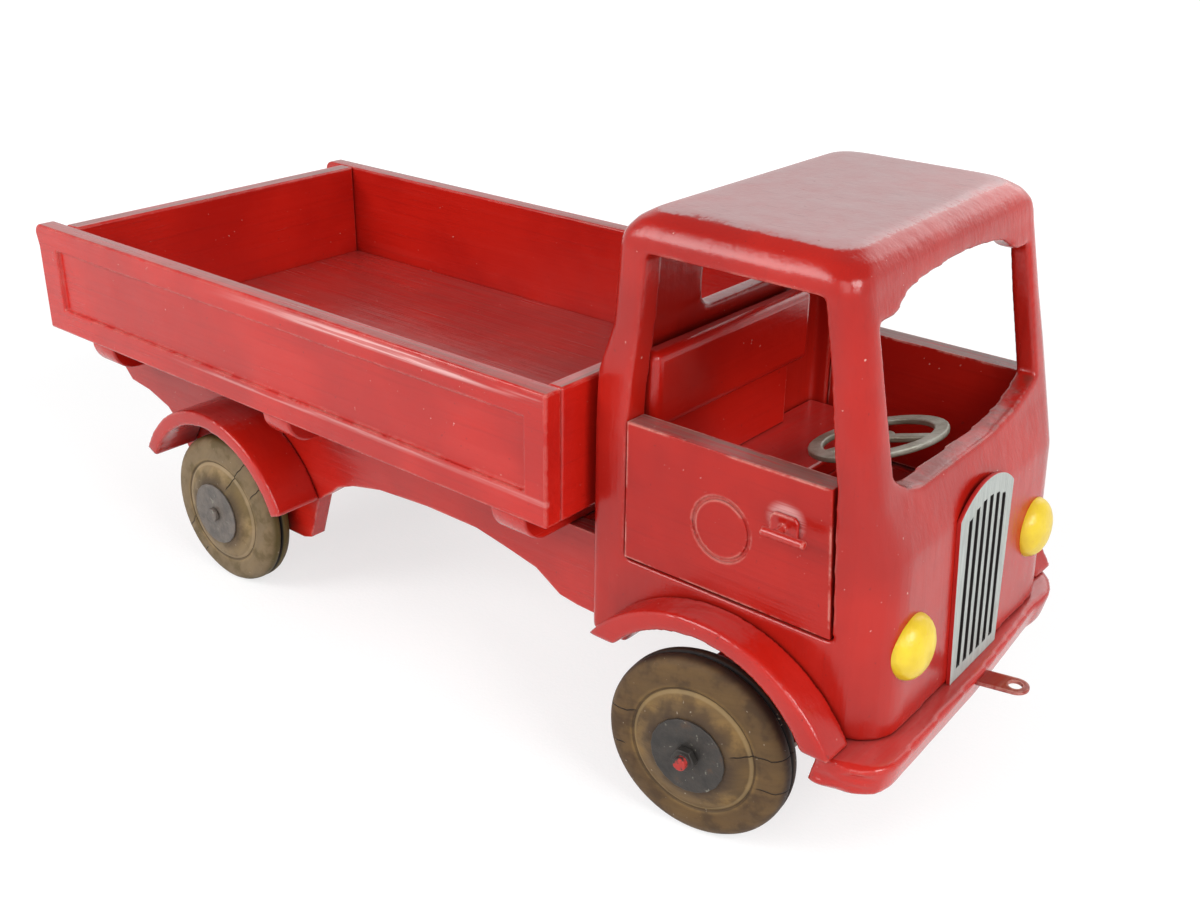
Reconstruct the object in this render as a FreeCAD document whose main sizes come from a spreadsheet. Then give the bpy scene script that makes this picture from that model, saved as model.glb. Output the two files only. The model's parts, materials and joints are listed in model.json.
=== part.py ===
import FreeCAD, Part
import Sketcher
import math
import os
import re
from FreeCAD import Placement, Rotation, Vector

# A handmade wooden toy truck: an open box bed on two cut-out chassis planks, a boxed cab
# with a carved front, opening doors, a steered front axle and four turned wooden wheels.
# Frame: x forward, y to the truck's left, z up. The origin is on the ground, under the
# middle of the truck's length and width. All lengths are millimetres.

SIZES = {
    # bed: a shallow box on three cross bearers
    "bed_length": 420.0,
    "bed_width": 240.8,
    "bed_height": 66.8,
    "bed_wall": 11.0,
    "bed_floor_thick": 5.4,
    "headboard_thick": 9.0,
    "tailgate_thick": 12.0,
    "tailgate_setback": 16.0,
    "nose_reach": 2.0,
    "nose_round": 6.0,
    "nose_drop": 14.0,
    "recess_depth": 2.5,
    "recess_foot": 15.0,
    "recess_head": 14.0,
    "recess_rear": 19.0,
    "recess_front": 14.0,
    # cross bearers under the bed
    "bearer_thick": 16.0,
    "bearer_width": 22.0,
    "bearer_inset": 2.0,
    "bearer_rear_at": 42.5,
    "bearer_middle_at": 209.5,
    "bearer_front_at": 382.5,
    # chassis planks on edge
    "plank_half_span": 85.0,
    "plank_thick": 10.0,
    "plank_rear_at": 14.0,
    "lobe_lip": 7.5,
    "tie_block_width": 24.0,
    "tie_block_drop": 26.0,
    # cab box
    "cab_gap": 5.0,
    "cab_depth": 153.9,
    "cab_half_width": 94.0,
    "cab_drop": 62.0,
    "cab_height": 192.0,
    "brow_height": 84.0,
    "sill_height": 107.0,
    "waist_height": 134.0,
    "shoulder_height": 157.0,
    "panel_lean": 3.3,
    "brow_lean": 8.3,
    "pillar_lean": 17.5,
    "waist_side": 1.0,
    "shoulder_side": 3.0,
    "side_lean": 4.0,
    "waist_back": 0.5,
    "shoulder_back": 5.5,
    "back_lean": 7.5,
    "skew_share": 0.035,
    "cab_wall": 14.0,
    "panel_thick": 11.0,
    "back_thick": 10.0,
    "front_corner": 22.0,
    "pillar_corner": 12.0,
    "rear_edge": 3.0,
    "rear_corner": 7.0,
    "roof_thick": 17.5,
    "roof_round": 16.0,
    "header_depth": 11.3,
    "cab_floor_thick": 10.0,
    "cab_floor_height": 34.0,
    # windscreen and rear window
    "screen_post": 6.5,
    "sill_rise": 11.0,
    "sill_flat_right": 50.0,
    "sill_flat_left": 20.0,
    "rear_window_half": 34.0,
    "rear_window_foot": 151.0,
    "rear_window_high": 29.0,
    "rear_window_round": 12.0,
    # doors and side windows
    "door_rear_at": 20.0,
    "door_foot_length": 110.8,
    "door_head_length": 106.0,
    "door_foot_height": 46.5,
    "door_height": 68.5,
    "door_thick": 12.0,
    "door_gap": 1.0,
    "hinge_gap": 0.4,
    "window_front_lean": 14.5,
    "window_rear_lean": 5.2,
    "door_ring": 15.5,
    "door_ring_width": 1.6,
    "door_ring_depth": 0.9,
    "door_ring_at": 53.0,
    "door_ring_height": 32.5,
    "handle_at": 85.5,
    "handle_height": 45.0,
    "handle_plate_length": 14.0,
    "handle_plate_high": 12.0,
    "handle_plate_thick": 2.0,
    "handle_stand": 7.0,
    "handle_stem": 1.7,
    "handle_bar": 21.0,
    "handle_bar_rear": 6.0,
    "handle_bar_round": 2.0,
    # seat
    "seat_depth": 50.0,
    "seat_height": 70.0,
    "seat_thick": 10.0,
    "riser_thick": 8.0,
    "riser_high": 35.0,
    "riser_end": 42.0,
    "backrest_thick": 12.0,
    "backrest_high": 38.0,
    "backrest_end": 51.0,
    # steering
    "steer_rest": 7.5,
    "front_axle_setback": 83.3,
    "kingpin_inset": 35.0,
    "kingpin": 2.5,
    "knuckle_high": 20.0,
    "knuckle_width": 12.0,
    "beam_width": 22.0,
    "beam_high": 16.0,
    "beam_overhang": 8.0,
    "bolster_length": 80.0,
    "arm_reach": 26.0,
    "arm_width": 8.0,
    "arm_thick": 3.0,
    "tie_pin": 1.8,
    "tie_end": 4.0,
    "helm_radius": 33.0,
    "helm_rim": 7.0,
    "helm_thick": 3.0,
    "helm_hub": 8.0,
    "helm_spoke": 6.0,
    "helm_setback": 58.3,
    "helm_height": 96.0,
    "helm_lean": 17.0,
    "column_radius": 3.0,
    "column_end": 6.0,
    # wheels
    "wheel_radius": 46.5,
    "wheel_width": 17.0,
    "tyre_edge": 4.0,
    "tyre_groove": 2.6,
    "face_ring": 32.5,
    "hub_radius": 20.0,
    "hub_rise": 4.0,
    "washer_radius": 19.0,
    "washer_thick": 1.2,
    "nut_radius": 6.0,
    "nut_high": 3.6,
    "bolt_radius": 3.3,
    "bolt_high": 3.4,
    "screw_radius": 4.4,
    "screw_high": 2.6,
    "axle_radius": 3.0,
    "running_gap": 0.08,
    "side_play": 0.4,
    "rear_axle_at": 141.0,
    "rear_rim_plane": 105.0,
    "front_rim_plane": 111.0,
    # fenders and wheel arches
    "arch_clearance": 13.6,
    "sill_web": 13.9,
    "front_fender_setback": 77.6,
    "front_fender_radius": 78.8,
    "front_fender_inner": 62.6,
    "front_fender_thick": 9.2,
    "front_fender_width": 19.0,
    "front_fender_lift": 10.5,
    "rear_fender_at": 146.0,
    "rear_fender_clearance": 14.2,
    "rear_fender_drop": 1.8,
    "rear_fender_thick": 9.0,
    "rear_fender_width": 30.0,
    "rear_fender_front_angle": 21.0,
    "rear_fender_rear_angle": 26.0,
    # bumper and pull strap
    "bumper_lip": 9.4,
    "bumper_high": 16.0,
    "bumper_lean": 3.8,
    "bumper_half": 113.0,
    "bumper_swell": 4.5,
    "bumper_corner": 25.0,
    "bumper_fall": 6.8,
    "bumper_bend_at": 70.0,
    "bumper_left_depth": 19.5,
    "tab_width": 13.0,
    "tab_thick": 1.6,
    "tab_length": 28.0,
    "tab_turn": 12.6,
    "tab_hole": 3.2,
    "tab_out": 14.4,
    "tab_drop": 3.0,
    # grille and lamps
    "grille_half": 28.5,
    "grille_foot_half": 25.0,
    "grille_shoulder": 84.0,
    "grille_high": 95.0,
    "grille_thick": 5.0,
    "grille_slot": 3.2,
    "grille_slot_depth": 3.0,
    "grille_slot_foot": 6.4,
    "grille_slot_head": 9.6,
    "lamp_radius": 15.2,
    "lamp_bulge": 8.2,
    "lamp_root": 3.0,
    "lamp_half_span": 65.0,
    "lamp_height_right": 39.7,
    "lamp_height_left": 44.2,
    # small clearances
    "joint_gap": 0.3,
    "overrun": 5.0,
}

GRILLE_SLOTS = 6
SPOKES = 3
WHEEL_SIDES = 64
RING_SIDES = 24
LAMP_SIDES = 24
WASHER_SIDES = 20
ROD_SIDES = 14
HELM_SIDES = 36
NUT_SIDES = 6
FENDER_STEPS = 20
CORNER_STEPS = 5
ROOF_BANDS = 4

PLACES = {
    "cab_foot": "2*wheel_radius + arch_clearance + sill_web - door_foot_height",
    "deck_height": "cab_foot + cab_drop",
    "bearer_foot": "deck_height - bearer_thick",
    "bearer_end": "bed_width/2 - bearer_inset - bearer_thick",
    "plank_drop": "bearer_foot - wheel_radius + lobe_lip",
    "arch_top": "2*wheel_radius + arch_clearance",
    "front_reach": "cab_depth + bumper_lip + tab_out + tab_width/2",
    "half_length": "(nose_reach + bed_length + cab_gap + front_reach) / 2",
    "bed_rear": "nose_reach - half_length",
    "bed_front": "bed_rear + bed_length",
    "bed_head": "deck_height + bed_height",
    "bed_side_in": "bed_width/2 - bed_wall",
    "cab_rear": "bed_front + cab_gap",
    "cab_front": "cab_rear + cab_depth",
    "bumper_front": "cab_front + bumper_lip",
    "cab_brow": "cab_foot + brow_height",
    "cab_sill": "cab_foot + sill_height",
    "cab_waist": "cab_foot + waist_height",
    "cab_shoulder": "cab_foot + shoulder_height",
    "cab_head": "cab_foot + cab_height",
    "header_foot": "cab_head - header_depth",
    "brow_front": "cab_front - panel_lean",
    "sill_front": "brow_front - brow_lean",
    "pillar_slope": "pillar_lean/(cab_height - sill_height)",
    "waist_front": "sill_front - pillar_slope*(waist_height - sill_height)",
    "shoulder_front": "sill_front - pillar_slope*(shoulder_height - sill_height)",
    "head_front": "sill_front - pillar_lean",
    "waist_rear": "cab_rear + waist_back",
    "shoulder_rear": "cab_rear + shoulder_back",
    "head_rear": "cab_rear + back_lean",
    "waist_half": "cab_half_width - waist_side",
    "shoulder_half": "cab_half_width - shoulder_side",
    "head_half": "cab_half_width - side_lean",
    "cab_in": "cab_half_width - cab_wall",
    "cab_in_rear": "cab_rear + back_thick",
    "screen_half": "cab_in - screen_post",
    "floor_top": "cab_foot + cab_floor_height + cab_floor_thick",
    "door_rear": "cab_rear + door_rear_at",
    "door_foot": "cab_foot + door_foot_height",
    "door_head": "door_foot + door_height",
    "kingpin_x": "cab_front - front_axle_setback",
    "kingpin_half": "front_rim_plane - kingpin_inset",
    "front_fender_x": "cab_front - front_fender_setback",
    "rear_axle_x": "bed_rear + rear_axle_at",
    "bumper_foot": "cab_foot - bumper_high",
    "beam_foot": "wheel_radius + knuckle_high/2 + joint_gap",
    "helm_x": "cab_front - helm_setback",
    "helm_z": "cab_foot + helm_height",
    "seat_top": "cab_foot + seat_height",
    "rest_top": "seat_height + riser_high + backrest_high",
    "rest_top_share": "(rest_top - waist_height)/(shoulder_height - waist_height)",
    "rest_half": "cab_in - waist_side - (shoulder_side - waist_side)*rest_top_share",
    "rest_rear": "cab_in_rear + waist_back + (shoulder_back - waist_back)*rest_top_share",
}

DOC = FreeCAD.newDocument("toy_truck")
SHEET = DOC.addObject("Spreadsheet::Sheet", "Sizes")


def linked(text):
    """Put the sheet's name before each size in an expression."""
    known = set(SIZES) | set(PLACES)
    return re.sub(r"[a-z_]+", lambda m: "Sizes." + m.group(0) if m.group(0) in known else m.group(0), text)


def fill_sheet():
    """One row for each driving size, then one for each place worked out from them."""
    row = 1
    for name, number in SIZES.items():
        SHEET.set("A%d" % row, name)
        SHEET.set("B%d" % row, str(number))
        SHEET.setAlias("B%d" % row, name)
        row += 1
    for name, text in PLACES.items():
        SHEET.set("A%d" % row, name)
        SHEET.set("B%d" % row, "=" + text)
        SHEET.setAlias("B%d" % row, name)
        row += 1
    DOC.recompute()


fill_sheet()


def value(text):
    """The number that an expression on the sheet's sizes comes to."""
    return float(SHEET.evalExpression(linked(str(text))))


def point(x, y, z):
    return Vector(value(x), value(y), value(z))


def bind(thing, **properties):
    """Tie properties to expressions; a double underscore stands for a dot."""
    for name, text in properties.items():
        thing.setExpression(name.replace("__", "."), linked(str(text)))
    return thing


def at(thing, x="0", y="0", z="0"):
    return bind(thing, Placement__Base__x=x, Placement__Base__y=y, Placement__Base__z=z)


PARTS = []


def keep(thing, name):
    """Name a finished sub-part and list it for the hand-over."""
    thing.Label = name
    PARTS.append(thing)
    return thing


def board(name, length, width, height, x, y, z):
    """A plain rectangular board from its low corner."""
    box = DOC.addObject("Part::Box", name)
    bind(box, Length=length, Width=width, Height=height)
    return at(box, x, y, z)


def rod(name, radius, height, x="0", y="0", z="0", turn=None):
    cylinder = DOC.addObject("Part::Cylinder", name)
    if turn:
        cylinder.Placement = Placement(Vector(), Rotation(turn[0], turn[1]))
    bind(cylinder, Radius=radius, Height=height)
    return at(cylinder, x, y, z)


def sided_rod(name, radius, height, sides, x="0", y="0", z="0", turn=None):
    """A round piece that nothing runs on, with flats too small to matter."""
    prism_piece = DOC.addObject("Part::Prism", name)
    prism_piece.Polygon = sides
    if turn:
        prism_piece.Placement = Placement(Vector(), Rotation(turn[0], turn[1]))
    bind(prism_piece, Circumradius=radius, Height=height)
    return at(prism_piece, x, y, z)


def cut(name, base, *tools):
    """Take tools away from a base, one after another."""
    for number, tool in enumerate(tools):
        step = DOC.addObject("Part::Cut", "%s_cut_%d" % (name, number))
        step.Base = base
        step.Tool = tool
        base = step
    return base


def fuse(name, *pieces):
    joined = DOC.addObject("Part::MultiFuse", name + "_joined")
    joined.Shapes = list(pieces)
    return joined


def mirrored(name, source):
    """The left-hand copy of a right-hand sub-part."""
    copy = DOC.addObject("Part::Mirroring", name)
    copy.Source = source
    copy.Normal = Vector(0, 1, 0)
    return keep(copy, name)


def origin_feature(body, role):
    return [feature for feature in body.Origin.OriginFeatures if feature.Role == role][0]


def arc_radius(begin, step):
    """The radius of the circle through three points, as an expression."""
    bx, by = ("(%s)" % text for text in begin)
    mx, my, ex, ey = ("(%s)" % text for text in step)
    first = "hypot(%s - %s; %s - %s)" % (mx, bx, my, by)
    second = "hypot(%s - %s; %s - %s)" % (ex, mx, ey, my)
    chord = "hypot(%s - %s; %s - %s)" % (ex, bx, ey, by)
    twice_area = "abs((%s - %s)*(%s - %s) - (%s - %s)*(%s - %s))" % (mx, bx, ey, by, ex, bx, my, by)
    return "%s*%s*%s/(2*%s)" % (first, second, chord, twice_area)


def sketch_arc(begin, middle, end):
    """An arc through three points, drawn the way a sketch keeps it: counter-clockwise."""
    centre = Part.Arc(begin, middle, end).toShape().Curve.Center
    if (middle - begin).cross(end - middle).z < 0:
        begin, end = end, begin
    angles = [math.atan2(spot.y - centre.y, spot.x - centre.x) for spot in (begin, end)]
    circle = Part.Circle(centre, Vector(0, 0, 1), (begin - centre).Length)
    return Part.ArcOfCircle(circle, angles[0], angles[1])


def trace(sketch, loop):
    """Draw one closed outline: a start point, then lines (x, y) or arcs (through x, y, to x, y)."""
    corners = [loop[0]] + [step[-2:] for step in loop[1:]]
    points = [Vector(value(x), value(y), 0) for x, y in corners]
    first = None
    last = None
    for number, step in enumerate(loop[1:]):
        begin, end = points[number], points[number + 1]
        if len(step) == 4:
            edge = sketch_arc(begin, Vector(value(step[0]), value(step[1]), 0), end)
        else:
            edge = Part.LineSegment(begin, end)
        index = sketch.addGeometry(edge)
        drawn = sketch.Geometry[index]
        forward = (drawn.StartPoint - begin).Length < (drawn.EndPoint - begin).Length
        ends = (1, 2) if forward else (2, 1)
        for axis, coordinate in zip(("X", "Y"), corners[number]):
            rule = Sketcher.Constraint("Distance" + axis, -1, 1, index, ends[0], value(coordinate))
            rank = sketch.addConstraint(rule)
            sketch.setExpression("Constraints[%d]" % rank, linked(str(coordinate)))
        if len(step) == 4:
            rank = sketch.addConstraint(Sketcher.Constraint("Radius", index, drawn.Radius))
            sketch.setExpression("Constraints[%d]" % rank, linked(arc_radius(corners[number], step)))
        if last is not None:
            sketch.addConstraint(Sketcher.Constraint("Coincident", last[0], last[1], index, ends[0]))
        else:
            first = (index, ends[0])
        last = (index, ends[1])
    sketch.addConstraint(Sketcher.Constraint("Coincident", last[0], last[1], first[0], first[1]))


def trace_ring(sketch, x, y, radius):
    """Draw one full circle, placed and sized by the sheet."""
    middle = Vector(value(x), value(y), 0)
    index = sketch.addGeometry(Part.Circle(middle, Vector(0, 0, 1), value(radius)))
    rules = [
        ("DistanceX", (-1, 1, index, 3), x),
        ("DistanceY", (-1, 1, index, 3), y),
        ("Radius", (index,), radius),
    ]
    for kind, where, text in rules:
        rank = sketch.addConstraint(Sketcher.Constraint(kind, *where, value(text)))
        sketch.setExpression("Constraints[%d]" % rank, linked(text))


def closed(*loop):
    """Close an outline with a straight edge back to its start."""
    return list(loop) + [tuple(loop[0])]


def drawing(body, role, loops, offset="0"):
    sketch = body.newObject("Sketcher::SketchObject", body.Name + "_sketch")
    sketch.AttachmentSupport = [(origin_feature(body, role), "")]
    sketch.MapMode = "FlatFace"
    bind(sketch, AttachmentOffset__Base__z=offset)
    for loop in loops:
        if isinstance(loop, tuple):
            trace_ring(sketch, *loop)
        else:
            trace(sketch, loop)
    return sketch


def padded(name, role, loops, thickness, offset="0"):
    """A board cut to an outline: its sketch, padded to its thickness."""
    body = DOC.addObject("PartDesign::Body", name)
    pad = body.newObject("PartDesign::Pad", name + "_pad")
    pad.Profile = drawing(body, role, loops, offset)
    bind(pad, Length=thickness)
    return body


def pocket(body, role, loops, depth, offset, reverse=False):
    """Sink outlines into a body from a plane that lies on its face."""
    hollow = body.newObject("PartDesign::Pocket", body.Name + "_pocket")
    hollow.Profile = drawing(body, role, loops, offset)
    bind(hollow, Length=depth)
    hollow.Reversed = reverse
    return body


def ring(x, y, radius):
    """A full circle for a sketch."""
    return (x, y, radius)


def round_spot(x, y, radius, angle):
    """A point on a circle, as a pair of expressions; the angle is in radians."""
    across, up = math.cos(angle), math.sin(angle)
    return "%s + (%s)*(%.9f)" % (x, radius, across), "%s + (%s)*(%.9f)" % (y, radius, up)


def sided_ring(x, y, radius, sides):
    """A many-sided ring, as a hand cuts it."""
    return closed(*[round_spot(x, y, radius, 2 * math.pi * number / sides) for number in range(sides)])


# The bed: two long sides with a sunk panel, end boards, a floor and three cross bearers.

def bed_side(name):
    loop = closed(
        ("bed_rear", "deck_height"),
        ("bed_front", "deck_height"),
        ("bed_front", "bed_head"),
        ("bed_rear - nose_reach + nose_round", "bed_head"),
        ("bed_rear - nose_reach + nose_round*(1 - sqrt(0.5))", "bed_head - nose_round*(1 - sqrt(0.5))",
         "bed_rear - nose_reach", "bed_head - nose_round"),
        ("bed_rear", "bed_head - nose_drop"),
    )
    side = padded(name, "XZ_Plane", [loop], "bed_wall", "bed_side_in")
    panel = closed(
        ("bed_rear + recess_rear", "deck_height + recess_foot"),
        ("bed_front - recess_front", "deck_height + recess_foot"),
        ("bed_front - recess_front", "bed_head - recess_head"),
        ("bed_rear + recess_rear", "bed_head - recess_head"),
    )
    return pocket(side, "XZ_Plane", [panel], "recess_depth", "bed_width/2")


def bearer(name, place):
    """A cross bearer: a batten whose ends are rounded off below."""
    loop = closed(
        ("-(bearer_end + bearer_thick)", "deck_height"),
        ("-(bearer_end + bearer_thick*sqrt(0.5))", "deck_height - bearer_thick*sqrt(0.5)",
         "-bearer_end", "bearer_foot"),
        ("bearer_end", "bearer_foot"),
        ("bearer_end + bearer_thick*sqrt(0.5)", "deck_height - bearer_thick*sqrt(0.5)",
         "bearer_end + bearer_thick", "deck_height"),
    )
    keep(padded(name, "YZ_Plane", [loop], "bearer_width", "bed_rear + " + place), name)


def build_bed():
    side = keep(bed_side("bed_side_right"), "bed_side_right")
    mirrored("bed_side_left", side)
    inner = "2*bed_side_in"
    keep(board("bed_floor", "bed_length - tailgate_setback - tailgate_thick - headboard_thick", inner,
               "bed_floor_thick", "bed_rear + tailgate_setback + tailgate_thick", "-bed_side_in",
               "deck_height"), "bed_floor")
    keep(board("bed_tailgate", "tailgate_thick", inner, "bed_height",
               "bed_rear + tailgate_setback", "-bed_side_in", "deck_height"), "bed_tailgate")
    keep(board("bed_headboard", "headboard_thick", inner, "bed_height",
               "bed_front - headboard_thick", "-bed_side_in", "deck_height"), "bed_headboard")
    bearer("bed_bearer_rear", "bearer_rear_at")
    bearer("bed_bearer_middle", "bearer_middle_at")
    bearer("bed_bearer_front", "bearer_front_at")


# The chassis planks: shares of the plank's length and drop, from its rear top corner.

PLANK_SHARES = {
    "tip": (0.013, 0.20),
    "tip_foot": (0.030, 0.29),
    "tail": (0.075, 0.32),
    "hip": (0.122, 0.40),
    "lobe_bend": (0.158, 0.62),
    "lobe_rear": (0.180, 1.0),
    "lobe_front": (0.436, 1.0),
    "lobe_corner": (0.453, 0.972),
    "lobe_heel": (0.477, 0.623),
    "arch_foot": (0.506, 0.522),
    "arch_knee": (0.521, 0.459),
    "arch_rise": (0.554, 0.393),
    "arch_shoulder": (0.609, 0.333),
    "arch_top": (0.700, 0.302),
    "arch_end": (0.791, 0.304),
    "step_head": (0.849, 0.358),
    "step_bend": (0.893, 0.406),
    "step_foot": (0.932, 0.523),
    "cab_run": (0.959, 0.542),
    "cab_end": (1.0, 0.549),
}


def plank_point(name):
    along, down = PLANK_SHARES[name]
    x = "bed_rear + plank_rear_at + (cab_rear - bed_rear - plank_rear_at)*%s" % along
    return x, "bearer_foot - plank_drop*%s" % down


def build_chassis():
    names = list(PLANK_SHARES)
    bend = names.index("lobe_bend")
    run = [plank_point(name) for name in names]
    lobe = run[bend] + run[bend + 1]
    loop = closed(("bed_rear + plank_rear_at", "bearer_foot"), *run[:bend], lobe, *run[bend + 2:],
                  ("cab_rear", "bearer_foot"))
    plank = padded("chassis_side_right", "XZ_Plane", [loop], "plank_thick", "plank_half_span - plank_thick")
    pocket(plank, "XZ_Plane", [ring("rear_axle_x", "wheel_radius", "axle_radius")],
           "plank_thick", "plank_half_span")
    keep(plank, "chassis_side_right")
    mirrored("chassis_side_left", plank)
    span = "2*(plank_half_span - plank_thick)"
    for end in ("rear", "front"):
        name = "chassis_block_" + end
        keep(board(name, "tie_block_width", span, "tie_block_drop", "bed_rear + bearer_%s_at" % end,
                   "-(plank_half_span - plank_thick)", "bearer_foot - tie_block_drop"), name)


# The cab: one carved outer form, hollowed, then parted where the real boards meet.

CAB_SECTIONS = (
    # height, rear face, front face, half width, rear corners, front corners
    ("cab_foot", "cab_rear", "cab_front", "cab_half_width", "rear_edge", "front_corner"),
    ("cab_brow", "cab_rear", "brow_front", "cab_half_width", "rear_edge", "front_corner"),
    ("cab_sill", "cab_rear", "sill_front", "cab_half_width", "rear_edge", "pillar_corner"),
    ("cab_waist", "waist_rear", "waist_front", "waist_half", "rear_edge", "pillar_corner"),
    ("cab_shoulder", "shoulder_rear", "shoulder_front", "shoulder_half", "rear_corner", "pillar_corner"),
    ("cab_head", "head_rear", "head_front", "head_half", "rear_corner", "pillar_corner"),
)


def corner_run(middle, radius, start, stop):
    """Points round a corner between two directions; one point where it is square."""
    if not radius:
        return [middle]
    angles = [start + (stop - start) * step / CORNER_STEPS for step in range(CORNER_STEPS + 1)]
    return [middle + Vector(radius * math.cos(angle), radius * math.sin(angle), 0) for angle in angles]


def section(rear, front, half, height, rear_round, front_round):
    """A flat outline of the cab seen from above: a slanting front and four rounded corners."""
    x0, x1, y1, z = value(rear), value(front), value(half), value(height)
    r0, r1 = value(rear_round), value(front_round)
    slant = value("skew_share")
    skew = math.atan(slant)
    quarter = math.pi / 2
    points = []
    for sign, start, stop in ((-1, -quarter, skew), (1, skew, quarter)):
        y = sign * (y1 - r1)
        points += corner_run(Vector(x1 - slant * y - r1 / math.cos(skew), y, z), r1, start, stop)
    for sign, start in ((1, quarter), (-1, 2 * quarter)):
        points += corner_run(Vector(x0 + r0, sign * (y1 - r0), z), r0, start, start + quarter)
    return points


def flat_face(points):
    return Part.Face(Part.makePolygon(points + points[:1]))


def stacked(outlines):
    """A solid with flat faces between level outlines whose corners are in step."""
    faces = [flat_face(outlines[0]), flat_face(outlines[-1])]
    for low, high in zip(outlines, outlines[1:]):
        for rank in range(len(low)):
            faces.append(flat_face([low[rank - 1], low[rank], high[rank], high[rank - 1]]))
    solid = Part.makeSolid(Part.makeShell(faces))
    return solid if solid.Volume > 0 else solid.reversed()


def turned(rings, sides):
    """A lathe-turned form with fine flats: rings of a radius and a height, one above another."""
    outlines = []
    for radius, height in rings:
        spoke, level = Vector(value(radius), 0, 0), Vector(0, 0, value(height))
        turns = [Rotation(Vector(0, 0, 1), 360.0 * number / sides) for number in range(sides)]
        outlines.append([turn.multVec(spoke) + level for turn in turns])
    return stacked(outlines)


def cab_form():
    """The cab's outer form: straight runs between its flat outlines."""
    return stacked([section(rear, front, half, height, rear_round, front_round)
                    for height, rear, front, half, rear_round, front_round in CAB_SECTIONS])


def cab_room():
    """The space inside the cab's boards, square in its corners and open above and below."""
    reaches = [" - overrun"] + [""]*(len(CAB_SECTIONS) - 2) + [" + overrun"]
    return stacked([section(rear + " + back_thick", front + " - panel_thick", half + " - cab_wall",
                            height + reach, "0", "0")
                    for reach, (height, rear, front, half, _, _) in zip(reaches, CAB_SECTIONS)])


def feature(name, shape):
    """A sub-part whose shape is worked out directly."""
    thing = DOC.addObject("Part::Feature", name)
    thing.Shape = shape
    return keep(thing, name)


def prism(points, depth):
    """A flat outline of 3-D points pushed along a direction."""
    return flat_face(points).extrude(depth)


# The header's arch: shares of the windscreen's half width and of the header's depth.

HEADER_SHARES = ((1.0, 0.0), (0.83, 0.0), (0.782, 0.113), (0.721, 0.357), (0.639, 0.609),
                 (0.558, 0.713), (0.476, 0.774), (0.245, 0.896), (0.0, 0.939))
SILL_SHARES = ((0.0, 0.0), (0.5, 0.25), (0.8, 0.64), (1.0, 1.0))


def screen_opening():
    """The windscreen: a sill that rises at its ends, upright posts and an arched header."""
    half, sill, foot = value("screen_half"), value("cab_sill"), value("header_foot")
    x = value("cab_rear + cab_depth/2")
    points = []
    for sign, flat in ((1, value("sill_flat_left")), (-1, value("sill_flat_right"))):
        bend = [Vector(x, sign * (flat + (half - flat) * out), sill + value("sill_rise") * up)
                for out, up in SILL_SHARES]
        head = [Vector(x, sign * half * out, foot + value("header_depth") * up)
                for out, up in HEADER_SHARES]
        run = bend + head
        points += run if sign > 0 else run[-2::-1]
    return prism(points, Vector(value("cab_depth"), 0, 0))


def side_opening(sign):
    """The doorway and the side window above it, open up to the roof."""
    rear = value("door_rear - hinge_gap")
    foot = value("door_foot - door_gap")
    door_top = value("door_head")
    head = value("cab_head + overrun")
    reach = (head - door_top) / value("cab_head - door_head")
    front_foot = value("door_rear + door_foot_length + door_gap")
    front_top = value("door_rear + door_head_length + door_gap")
    front_head = front_top - reach * value("window_front_lean")
    rear_head = rear + reach * value("window_rear_lean")
    y = sign * value("cab_half_width + overrun")
    outline = [Vector(rear, y, foot), Vector(front_foot, y, foot), Vector(front_top, y, door_top),
               Vector(front_head, y, head), Vector(rear_head, y, head), Vector(rear, y, door_top)]
    return prism(outline, Vector(0, -sign * value("cab_half_width"), 0))


def wheel_arch(sign):
    """The round arch that lets the steered wheel turn."""
    y = sign * value("cab_half_width + overrun")
    radius = value("front_fender_inner")
    centre = Vector(value("front_fender_x"), y, value("arch_top") - radius)
    return Part.makeCylinder(radius, value("cab_half_width"), centre, Vector(0, -sign, 0))


def slab(x0, x1, y0, y1, z0, z1):
    """A rectangular region used to part the cab into its boards."""
    low = Vector(min(value(x0), value(x1)), min(value(y0), value(y1)), min(value(z0), value(z1)))
    high = Vector(max(value(x0), value(x1)), max(value(y0), value(y1)), max(value(z0), value(z1)))
    span = high - low
    return Part.makeBox(span.x, span.y, span.z, low)


def inner_width():
    """The room between the cab's two side boards, leaning in with them."""
    x = value("cab_rear - overrun")
    wall = value("cab_wall")
    run = [Vector(x, value(half) - wall, value(height)) for height, _, _, half, _, _ in CAB_SECTIONS]
    run[0].z -= value("overrun")
    other = [Vector(spot.x, -spot.y, spot.z) for spot in reversed(run)]
    return prism(run + other, Vector(value("cab_depth + 2*overrun"), 0, 0))


def rear_window():
    """The rounded opening in the cab's back board."""
    low = slab("cab_rear - overrun", "cab_rear + 2*back_thick", "-rear_window_half", "rear_window_half",
               "cab_foot + rear_window_foot", "cab_foot + rear_window_foot + rear_window_high")
    upright = [edge for edge in low.Edges if abs(edge.tangentAt(edge.FirstParameter).x) > 0.9]
    return low.makeFillet(value("rear_window_round"), upright)


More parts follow.
